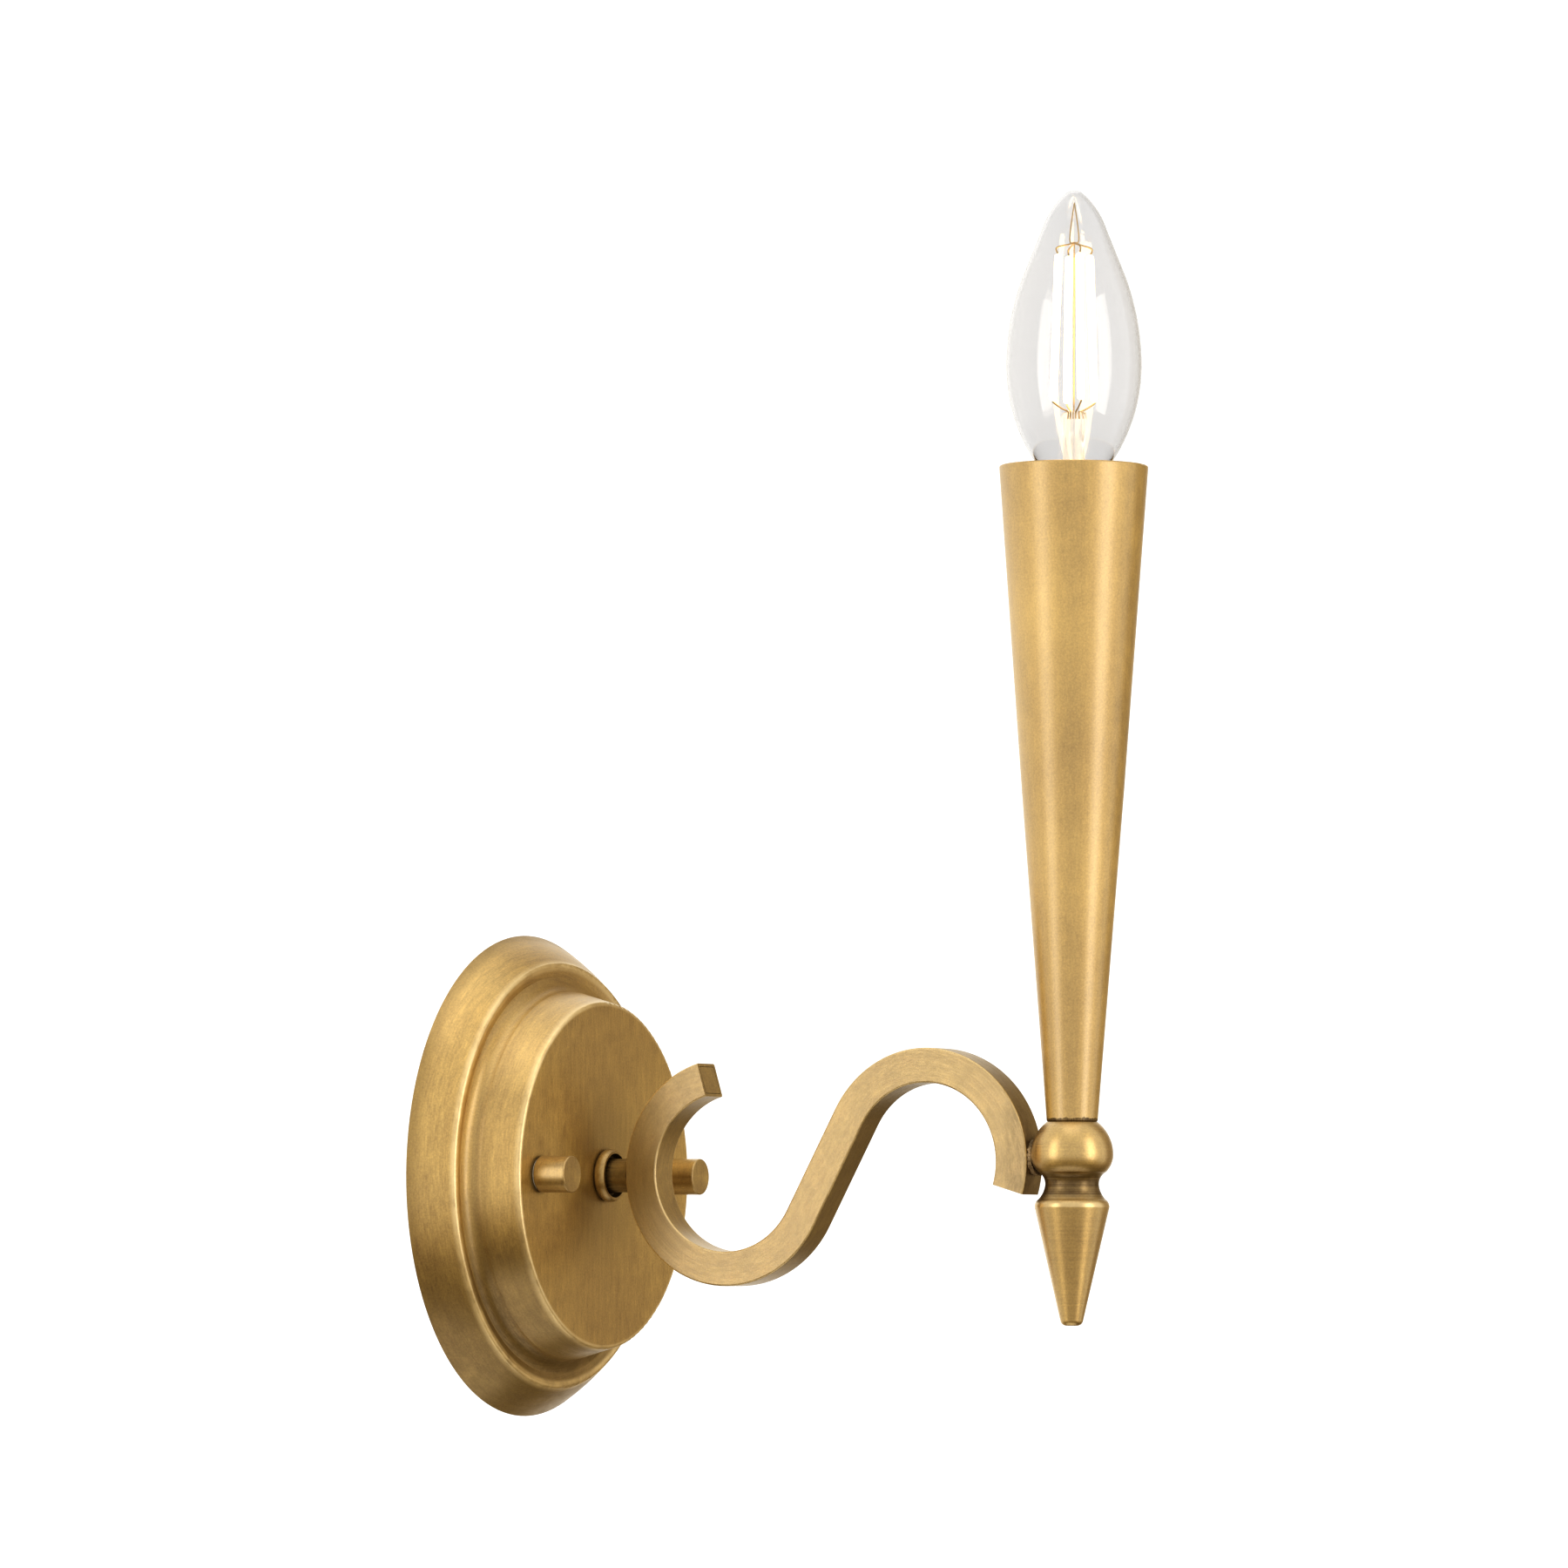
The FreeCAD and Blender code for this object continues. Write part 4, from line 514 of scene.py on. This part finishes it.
def make_materials():
    """One material for each slot of the record."""
    return {
        "plate_brass": brass("plate_brass", plate_grain, "Y", 0.25, plate_dark, plate_bright,
                             streakiness=0.75, gloss=0.85),
        "nut_brass": brass("nut_brass", spun_about_wall_axis, "Y", 0.25, tone=0.85, streakiness=0.6,
                           gloss=0.9),
        "arm_brass": brass("arm_brass", arm_grain, dark=arm_dark, bright=arm_bright, tone=0.84,
                           recess=4.0 * MM),
        "stem_brass": brass("stem_brass", turned_grain, "Z", 0.25, stem_dark, stem_bright, tone=0.97,
                            rough=0.36,
                            streakiness=0.4, recess=4.0 * MM),
        "cup_brass": brass("cup_brass", upright_grain, "Z", 0.0, cup_dark, tone=0.96, rough=0.52,
                           streakiness=0.4),
        "raw_brass": plain("raw_brass", (0.72, 0.52, 0.24), 1.0, 0.32),
        "braze": plain("braze", (0.56, 0.42, 0.25), 0.6, 0.55, 900.0, 0.3 * MM, 0.3),
        "zinc_steel": plain("zinc_steel", (0.62, 0.62, 0.60), 1.0, 0.38, 600.0),
        "green_steel": plain("green_steel", (0.05, 0.24, 0.10), 0.5, 0.4),
        "copper": plain("copper", (0.72, 0.38, 0.22), 1.0, 0.4),
        "nylon": plain("nylon", (0.78, 0.76, 0.68), 0.0, 0.5, variation=0.05),
        "moulding": plain("moulding", (0.03, 0.028, 0.026), 0.0, 0.35, variation=0.2),
        "black_insulation": plain("black_insulation", (0.02, 0.02, 0.02), 0.0, 0.42, variation=0.2),
        "white_insulation": plain("white_insulation", (0.80, 0.80, 0.77), 0.0, 0.45, variation=0.05),
        "clear_glass": glass("clear_glass"),
        "glow_coating": glow("glow_coating"),
        "nickel": plain("nickel", (0.66, 0.63, 0.58), 1.0, 0.28),
        "black_glass": plain("black_glass", (0.01, 0.01, 0.012), 0.0, 0.12, variation=0.2),
    }


MATERIALS = make_materials()
for label, piece in NODES.items():
    piece.data.materials.clear()
    piece.data.materials.append(MATERIALS[SLOTS[label]])


# ---------------------------------------------------------------- shapes

UPWARD = Matrix.Identity(3)
OUTWARD = Matrix.Rotation(math.radians(90), 3, "X")  # turns a local +Z to point away from the wall


def raised(height):
    return Vector((0.0, 0.0, height))


def round_angles(sides):
    """Equal steps of angle once round a circle."""
    return [2 * math.pi * side / sides for side in range(sides)]


def ring(radius, height, sides):
    """Points of a level circle."""
    return [Vector((radius * math.cos(angle), radius * math.sin(angle), height))
            for angle in round_angles(sides)]


def skin(rings, closed=False):
    """(vertices, faces) of the surface through rings of equal length, capped unless it closes on itself."""
    sides = len(rings[0])
    vertices = [vertex for each in rings for vertex in each]
    faces = []
    count = len(rings) if closed else len(rings) - 1
    for row in range(count):
        here = row * sides
        there = (row + 1) % len(rings) * sides
        for side in range(sides):
            beside = (side + 1) % sides
            faces.append((here + side, here + beside, there + beside, there + side))
    if not closed:
        faces.append(tuple(range(sides - 1, -1, -1)))
        faces.append(tuple(range(len(vertices) - sides, len(vertices))))
    return vertices, faces


def joined(shapes):
    """Several (vertices, faces) as one."""
    vertices = []
    faces = []
    for more_vertices, more_faces in shapes:
        start = len(vertices)
        vertices += more_vertices
        faces += [tuple(start + index for index in face) for face in more_faces]
    return vertices, faces


def smooth_path(points, steps=8):
    """A Catmull-Rom curve through points."""
    ends = [points[0] * 2 - points[1]] + list(points) + [points[-1] * 2 - points[-2]]
    path = []
    for before, start, finish, after in zip(ends, ends[1:], ends[2:], ends[3:]):
        for step in range(steps):
            t = step / steps
            path.append(0.5 * ((2 * start) + (finish - before) * t
                               + (2 * before - 5 * start + 4 * finish - after) * t * t
                               + (3 * start - before - 3 * finish + after) * t * t * t))
    return path + [points[-1]]


def wire(path, radius, sides=10):
    """(vertices, faces) of a round wire along a path."""
    rings = []
    across = None
    for index, here in enumerate(path):
        ahead = (path[min(index + 1, len(path) - 1)] - path[max(index - 1, 0)]).normalized()
        if across is None:
            across = ahead.orthogonal().normalized()
        across = (across - ahead * across.dot(ahead)).normalized()
        other = ahead.cross(across)
        rings.append([here + (across * math.cos(angle) + other * math.sin(angle)) * radius
                      for angle in round_angles(sides)])
    return skin(rings)


def turned(outline, sides=48, closed=False):
    """(vertices, faces) of a turned shape from (radius, height) corners."""
    return skin([ring(radius, height, sides) for radius, height in outline], closed)


def moved(shape, origin, rotation=UPWARD):
    vertices, faces = shape
    return [origin + rotation @ vertex for vertex in vertices], faces


def sharp_profile(phase):
    return 1.0 - abs(2.0 * phase - 1.0)


def rolled_profile(phase):
    return 0.5 - 0.5 * math.cos(2.0 * math.pi * phase)


def threaded(crest, root, start, end, pitch, bore=None, profile=sharp_profile, sides=40, rows=8, wall=None,
             plain_ends=1.0):
    """A right-handed thread along +Z, hollow with a bore.  With a wall its inside follows the thread."""
    count = max(2, round((end - start) / pitch * rows))
    outer = []
    inner = []
    for row in range(count + 1):
        height = start + (end - start) * row / count
        fade = min(1.0, min(height - start, end - height) / (pitch * plain_ends))
        outside = []
        inside = []
        for side, angle in enumerate(round_angles(sides)):
            phase = (height / pitch - side / sides) % 1.0
            radius = root + (crest - root) * profile(phase) * fade
            outside.append(Vector((radius * math.cos(angle), radius * math.sin(angle), height)))
            hollow = radius - wall if wall else bore
            if hollow:
                inside.append(Vector((hollow * math.cos(angle), hollow * math.sin(angle), height)))
        outer.append(outside)
        inner.append(inside)
    if not inner[0]:
        return skin(outer)
    return skin(outer + inner[::-1], closed=True)


def add_piece(name, shape, body, slot, *replaced):
    """A mesh piece that rides a body and takes a slot's material."""
    vertices, faces = shape
    mesh = bpy.data.meshes.new(name)
    mesh.from_pydata([tuple(vertex) for vertex in vertices], [], faces)
    work = bmesh.new()
    work.from_mesh(mesh)
    bmesh.ops.recalc_face_normals(work, faces=work.faces)
    work.to_mesh(mesh)
    work.free()
    mesh.shade_smooth()
    mesh.set_sharp_from_angle(angle=math.radians(50))
    mesh.materials.append(MATERIALS[slot])
    piece = bpy.data.objects.new(name, mesh)
    bpy.context.scene.collection.objects.link(piece)
    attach(piece, body)
    if replaced:
        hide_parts(*replaced)


# ---------------------------------------------------------------- threads and washers

INCH = 25.4 * MM
STUD_PITCH = INCH / 32
STUD_THREAD_DEPTH = 0.42 * MM
NIPPLE_PITCH = INCH / 27
NIPPLE_THREAD_DEPTH = 0.4 * MM
NIPPLE_BORE = 3.0 * MM
BULB_PITCH = 2.54 * MM
BULB_THREAD_DEPTH = 0.5 * MM
BULB_THREAD_WALL = 0.35 * MM


def add_studs():
    """The two studs with their real threads."""
    for side in ("left", "right"):
        node = "mounting_stud_" + side
        radius = (high(node).z - low(node).z) / 2
        back = -high(node).y
        front = -low(node).y
        shape = threaded(radius, radius - STUD_THREAD_DEPTH, back, front, STUD_PITCH, sides=32, rows=6)
        centre = middle(node)
        add_piece("stud_thread_" + side, moved(shape, Vector((centre.x, 0.0, centre.z)), OUTWARD),
                  "fixture", "zinc_steel", node)


def add_nipple():
    """The hollow nipple's thread."""
    node = "arm_nipple"
    radius = high(node).z
    shape = threaded(radius, radius - NIPPLE_THREAD_DEPTH, -high(node).y, -low(node).y, NIPPLE_PITCH,
                     bore=NIPPLE_BORE, sides=40, rows=6)
    add_piece("nipple_thread", moved(shape, Vector((0.0, 0.0, 0.0)), OUTWARD), "fixture", "raw_brass", node)


def rolled_thread(node):
    """A thin rolled thread as wide and high as a node, on the candle's axis."""
    crest = (high(node).x - low(node).x) / 2
    shape = threaded(crest, crest - BULB_THREAD_DEPTH, low(node).z, high(node).z, BULB_PITCH,
                     profile=rolled_profile, sides=48, rows=12, wall=BULB_THREAD_WALL, plain_ends=0.7)
    return moved(shape, CANDLE)


def add_bulb_cap():
    """The bulb's rolled screw cap, and the screw shell that it turns in, with matching threads."""
    add_piece("bulb_cap_thread", rolled_thread("bulb_screw_cap"), "bulb", "nickel", "bulb_screw_cap")
    add_piece("socket_shell_thread", rolled_thread("socket_screw_shell"), "fixture", "raw_brass",
              "socket_screw_shell")


def add_nut_washers():
    """Nylon washers with rounded rims, a hair clear of the nuts that turn on them."""
    gap = 0.02 * MM
    rounding = 0.12 * MM
    for side in ("left", "right"):
        node = "nut_washer_" + side
        centre = middle(node)
        radius = (high(node).z - low(node).z) / 2
        stud = "mounting_stud_" + side
        bore = (high(stud).z - low(stud).z) / 2 + 0.1 * MM
        back = gap - high(node).y
        front = -low(node).y - gap
        outline = [(bore, back), (radius - rounding, back), (radius, back + rounding),
                   (radius, front - rounding), (radius - rounding, front), (bore, front)]
        shape = moved(turned(outline, closed=True), Vector((centre.x, 0.0, centre.z)), OUTWARD)
        add_piece("washer_rim_" + side, shape, side + "_washer", "nylon", node)


# ---------------------------------------------------------------- braze and leads

LUMP_SIZE = 1.3 * MM
STRANDS_AROUND = 6
STRAND_RADIUS = 0.16 * MM
STRAND_CIRCLE = 0.34 * MM
STRAND_LENGTH = 7.0 * MM
STRAND_STEPS = 8


def roughen_braze():
    """Lumps and drips on the brazed joint of arm and ball."""
    collar = NODES["braze_collar"]
    remesh = collar.modifiers.new("fine_mesh", "REMESH")
    remesh.mode = "VOXEL"
    remesh.voxel_size = 0.16 * MM
    remesh.use_smooth_shade = True
    lumps = bpy.data.textures.new("braze_lumps", "CLOUDS")
    lumps.noise_scale = LUMP_SIZE
    lumps.noise_depth = 3
    displace = collar.modifiers.new("lumps", "DISPLACE")
    displace.texture = lumps
    displace.texture_coords = "LOCAL"
    displace.strength = LUMP_SIZE
    displace.mid_level = 0.45


def add_lead_ends():
    """A bundle of bare copper strands at each lead's free end: six round a straight one."""
    rng = random.Random(5)
    for name, side in (("black_lead", 1), ("white_lead", -1)):
        tip_x = high(name).x if side > 0 else low(name).x
        end = Vector((tip_x - 0.15 * MM * side, -8.0 * MM, 6.45 * MM))
        ahead = Vector((side, 0.0, 0.145)).normalized()
        strands = []
        for number in range(STRANDS_AROUND + 1):
            angle = 2 * math.pi * number / STRANDS_AROUND
            spread = 0.0 if number == STRANDS_AROUND else STRAND_CIRCLE
            path = []
            for step in range(STRAND_STEPS + 1):
                share = step / STRAND_STEPS
                twist = angle + share * 2.4
                flare = spread * (1.0 + 0.5 * share * share) * (1.0 + 0.2 * rng.random() * share)
                offset = Vector((0.0, math.cos(twist), math.sin(twist))) * flare
                path.append(end + ahead * (share * STRAND_LENGTH - 1.0 * MM) + offset)
            strands.append(wire(path, STRAND_RADIUS, 8))
        add_piece(name + "_strands", joined(strands), "fixture", "copper")


# ---------------------------------------------------------------- bulb

ROD_TOP = high("glow_rods").z
ROD_BOTTOM = low("glow_rods").z
ROD_LOW_CIRCLE = 5.6 * MM
ROD_HIGH_CIRCLE = 4.27 * MM
ROD_RADIUS = 1.0 * MM
ROD_END_STEPS = 6
STEM_TOP = high("bulb_stem").z
MAST_TOP = high("bulb_support_wires").z
MAST_RADIUS = 0.17 * MM
LEAD_RADIUS = 0.2 * MM
LOOP_RADIUS = 0.16 * MM


def rod_ends():
    """(direction from the axis, lower end, upper end) of each glowing rod."""
    ends = []
    for number in range(4):
        turn = math.radians(45 + 90 * number)
        outward = Vector((math.cos(turn), math.sin(turn), 0.0))
        ends.append((outward, CANDLE + outward * ROD_LOW_CIRCLE + raised(ROD_BOTTOM),
                     CANDLE + outward * ROD_HIGH_CIRCLE + raised(ROD_TOP)))
    return ends


def add_rods():
    """Round-ended glowing rods."""
    shapes = []
    for _, bottom, top in rod_ends():
        ahead = (top - bottom).normalized()
        length = (top - bottom).length
        outline = []
        for step in range(ROD_END_STEPS + 1):
            angle = math.radians(90.0 * step / ROD_END_STEPS)
            radius = max(ROD_RADIUS * math.sin(angle), 0.02 * MM)
            outline.append((radius, ROD_RADIUS * (1 - math.cos(angle))))
        outline += [(radius, length - height) for radius, height in reversed(outline)]
        rotation = raised(1.0).rotation_difference(ahead).to_matrix()
        shapes.append(moved(turned(outline, 20), bottom, rotation))
    add_piece("glowing_rods", joined(shapes), "bulb", "glow_coating", "glow_rods")


def add_supports():
    """Curved leads to the rods' lower ends, hooks at their upper ends and a thin mast with a narrow loop."""
    foot = CANDLE + raised(STEM_TOP - 2.0 * MM)
    hub = CANDLE + raised(ROD_TOP + 3.0 * MM)
    shapes = [wire([foot, foot + raised(20 * MM), hub], MAST_RADIUS)]
    for outward, bottom, top in rod_ends():
        start = foot + outward * 1.6 * MM
        bend = CANDLE + outward * 3.2 * MM + raised(STEM_TOP + 0.6 * MM)
        lead = [start, start + raised(1.8 * MM), bend, bottom - raised(0.3 * MM), bottom + raised(0.5 * MM)]
        shapes.append(wire(smooth_path(lead), LEAD_RADIUS))
        over = top + outward * 0.5 * MM + raised(1.5 * MM)
        inward = hub + outward * 1.5 * MM - raised(0.5 * MM)
        shapes.append(wire(smooth_path([top - raised(0.4 * MM), over, inward, hub]), LEAD_RADIUS))
    apex = CANDLE + raised(MAST_TOP - 0.3 * MM)
    across = Vector((0.0, 1.3 * MM, 0.0))
    loop = [hub - across * 0.2, hub + across + raised(0.8 * MM), apex + across * 0.15,
            apex - across * 0.15, hub - across + raised(0.8 * MM), hub + across * 0.2]
    shapes.append(wire(smooth_path(loop), LOOP_RADIUS))
    add_piece("bulb_wires", joined(shapes), "bulb", "raw_brass", "bulb_support_wires")


GLASS_WALL = 0.7 * MM
GLASS_TOP = high("bulb_glass").z
GLASS_TIP = 3.46 * MM
GLASS_TIP_FACING = math.radians(50.5)
FLANK_FACING = math.radians(22.1)
SHOULDER_FACING = math.radians(-36.7)
SEAT_RADIUS = 5.0 * MM
SEAT_TOP = 173.7 * MM
GLASS_STATIONS = (  # radius, height, direction faced, rounding up to the next station
    (6.3 * MM, 174.6 * MM, 0.0, -11.8 * MM),
    (8.64 * MM, 181.5 * MM, SHOULDER_FACING, 44.67 * MM),
    (17.5 * MM, 208.2 * MM, 0.0, 66.0 * MM),
    (12.66 * MM, 233.0 * MM, FLANK_FACING, None),
    (8.2 * MM, 244.0 * MM, FLANK_FACING, 20.0 * MM),
    (GLASS_TIP * math.cos(GLASS_TIP_FACING), GLASS_TOP - GLASS_TIP * (1.0 - math.sin(GLASS_TIP_FACING)),
     GLASS_TIP_FACING, GLASS_TIP),
)


def arc(start, finish, rounding, steps=14):
    """Points of an arc after its start.  A negative rounding bends inward and none gives a straight line."""
    if rounding is None:
        return [start.lerp(finish, step / steps) for step in range(1, steps + 1)]
    chord = finish - start
    bulge = 1 if rounding > 0 else -1
    outward = Vector((chord.y, -chord.x)).normalized()
    away = math.sqrt(rounding ** 2 - (chord.length / 2) ** 2) * bulge
    centre = (start + finish) / 2 - outward * away
    first = start - centre
    turn = 2 * math.asin(chord.length / 2 / abs(rounding)) * bulge
    points = []
    for step in range(1, steps + 1):
        angle = turn * step / steps
        points.append(centre + Vector((first.x * math.cos(angle) - first.y * math.sin(angle),
                                       first.x * math.sin(angle) + first.y * math.cos(angle))))
    return points


def glass_outline(inset):
    """The glass's outline from its neck almost to the axis at its tip."""
    stations = [(Vector((radius - inset * math.cos(facing), height - inset * math.sin(facing))), rounding)
                for radius, height, facing, rounding in GLASS_STATIONS]
    stations.append((Vector((0.0, GLASS_TOP - inset)), None))
    points = [stations[0][0]]
    for (start, rounding), (finish, _) in zip(stations, stations[1:]):
        bend = None if rounding is None else rounding - inset
        points += arc(start, finish, bend)
    return [(point.x, point.y) for point in points[:-1]]


def add_glass():
    """The bulb's glass as one fine skin from the outer tip down to the seat and up to the inner tip."""
    foot = low("bulb_glass").z
    inner = SEAT_RADIUS - GLASS_WALL
    down = glass_outline(0.0)[::-1] + [(SEAT_RADIUS, SEAT_TOP), (SEAT_RADIUS, foot)]
    back = [(inner, foot), (inner, SEAT_TOP)] + glass_outline(GLASS_WALL)
    shape = moved(turned(down + back, 112), CANDLE)
    add_piece("bulb_glass_skin", shape, "bulb", "clear_glass", "bulb_glass")


GLASS_STEM_OUTLINE = (  # radius and rise in millimetres
    (4.2, 0.0), (4.2, 1.2), (3.9, 3.5), (3.3, 7.0), (2.9, 11.0), (2.7, 18.0), (2.7, 23.0), (2.9, 25.5),
    (2.7, 27.0), (2.0, 27.5),
)
PINCH_START = 17.0
PINCH_LENGTH = 7.0


def add_glass_stem():
    """The flared glass stem, pinched flat at its top round the wires."""
    foot = low("bulb_stem").z
    rings = []
    for radius, rise in GLASS_STEM_OUTLINE:
        flat = min(1.0, max(0.0, (rise - PINCH_START) / PINCH_LENGTH))
        level = ring(radius * MM, foot + rise * MM, 48)
        rings.append([Vector((vertex.x * (1.0 - 0.5 * flat), vertex.y * (1.0 + 0.25 * flat), vertex.z))
                      for vertex in level])
    add_piece("bulb_stem_glass", moved(skin(rings), CANDLE), "bulb", "clear_glass", "bulb_stem")


add_studs()
add_nipple()
add_bulb_cap()
add_nut_washers()
roughen_braze()
add_lead_ends()
add_rods()
add_supports()
add_glass()
add_glass_stem()


# ---------------------------------------------------------------- stage

AZIMUTH = math.radians(-62.057)
ELEVATION = math.radians(-3.053)
ROLL = math.radians(0.236)
TARGET = Vector((0.0, -0.0764, 0.1022))
DISTANCE = 2.3195
LENS = 203.77
SENSOR = 36.0
LIGHT_DISTANCE = 1.7
FLOOR_RADIUS = 0.6
FLOOR_HEIGHT = -1.0
FLOOR_COLOUR = (0.84, 0.83, 0.81)
ROOM_BEHIND_AND_FRONT = (1.2, 0.94)
ROOM_RIGHT = 0.42
ROOM_BELOW = 0.2
BACKGROUND = 1.03
WHITE = (1.0, 1.0, 1.0)
WARM = (1.0, 0.97, 0.91)
DIM_TINT = (1.0, 0.76, 0.40)
CONTRAST = 0.74  # the view's gamma: below 1 deepens the darks and keeps white white


def camera_axes():
    """(right, up, back) of the camera."""
    back = Vector((math.sin(AZIMUTH) * math.cos(ELEVATION), -math.cos(AZIMUTH) * math.cos(ELEVATION),
                   math.sin(ELEVATION)))
    right = (-back).cross(Vector((0, 0, 1))).normalized()
    up = right.cross(-back)
    rolled_right = right * math.cos(ROLL) + up * math.sin(ROLL)
    rolled_up = up * math.cos(ROLL) - right * math.sin(ROLL)
    return rolled_right, rolled_up, back


def add_camera():
    right, up, back = camera_axes()
    lens = bpy.data.cameras.new("photo_camera")
    lens.lens = LENS
    lens.sensor_width = SENSOR
    lens.clip_start = 0.05
    camera = bpy.data.objects.new("photo_camera", lens)
    turn = Matrix((right, up, back)).transposed().to_4x4()
    camera.matrix_world = Matrix.Translation(TARGET + back * DISTANCE) @ turn
    bpy.context.scene.collection.objects.link(camera)
    bpy.context.scene.camera = camera


def add_softbox(name, azimuth, elevation, width, height, power):
    """An area light that looks at the target from an azimuth measured from the camera's, in degrees."""
    angle = AZIMUTH + math.radians(azimuth)
    rise = math.radians(elevation)
    away = Vector((math.sin(angle) * math.cos(rise), -math.cos(angle) * math.cos(rise), math.sin(rise)))
    light = bpy.data.lights.new(name, "AREA")
    light.shape = "RECTANGLE"
    light.size = width
    light.size_y = height
    light.energy = power
    light.color = WARM
    lamp = bpy.data.objects.new(name, light)
    lamp.location = TARGET + away * LIGHT_DISTANCE
    lamp.rotation_euler = away.to_track_quat("Z", "Y").to_euler()
    lamp.visible_camera = False
    bpy.context.scene.collection.objects.link(lamp)


def add_world():
    """White behind the object, and a room that is dimmer and warmer in front, to the right and below."""
    world = bpy.data.worlds.new("studio")
    graph = Graph.for_world(world)
    right, _, back = camera_axes()
    direction = graph.node("ShaderNodeTexCoord").outputs["Generated"]
    ahead = graph.vector("DOT_PRODUCT", direction, back)
    side = graph.vector("DOT_PRODUCT", direction, right)
    rightward = graph.times(graph.ramp(side, 0.1, 0.6), graph.ramp(ahead, -0.15, -0.5))
    level = graph.times(graph.ramp(ahead, -0.55, 0.45, *ROOM_BEHIND_AND_FRONT),
                        graph.ramp(rightward, 0.0, 1.0, 1.0, ROOM_RIGHT),
                        graph.ramp(graph.split(direction)[2], -0.8, -0.15, ROOM_BELOW, 1.0))
    path = graph.node("ShaderNodeLightPath").outputs
    seen = graph.largest(path["Is Camera Ray"], path["Is Transmission Ray"])
    strength = graph.largest(level, graph.times(seen, BACKGROUND))
    lit = graph.blend(graph.ramp(level, 0.3, 1.0), DIM_TINT, WARM)
    tint = graph.blend(seen, lit, WHITE)
    room = graph.node("ShaderNodeBackground", Color=tint, Strength=strength)
    graph.tree.links.new(room.outputs[0], graph.node("ShaderNodeOutputWorld").inputs["Surface"])
    bpy.context.scene.world = world


def add_floor():
    """A pale round floor, well below the sconce."""
    mesh = bpy.data.meshes.new("floor")
    shape = bmesh.new()
    bmesh.ops.create_circle(shape, cap_ends=True, segments=96, radius=FLOOR_RADIUS)
    shape.to_mesh(mesh)
    shape.free()
    floor = bpy.data.objects.new("floor", mesh)
    floor.location = (TARGET.x, TARGET.y, FLOOR_HEIGHT)
    bpy.context.scene.collection.objects.link(floor)
    mesh.materials.append(plain("floor", FLOOR_COLOUR, 0.0, 0.7, 60.0, 0.2 * MM, 0.02))


add_camera()
add_world()
add_floor()
add_softbox("key_left", azimuth=-54, elevation=6, width=0.7, height=1.8, power=5.8)
add_softbox("key_right", azimuth=54, elevation=6, width=0.7, height=1.8, power=7.5)
add_softbox("top", azimuth=0, elevation=75, width=1.2, height=1.2, power=3.0)
bpy.context.scene.view_settings.view_transform = "Standard"
bpy.context.scene.view_settings.gamma = CONTRAST
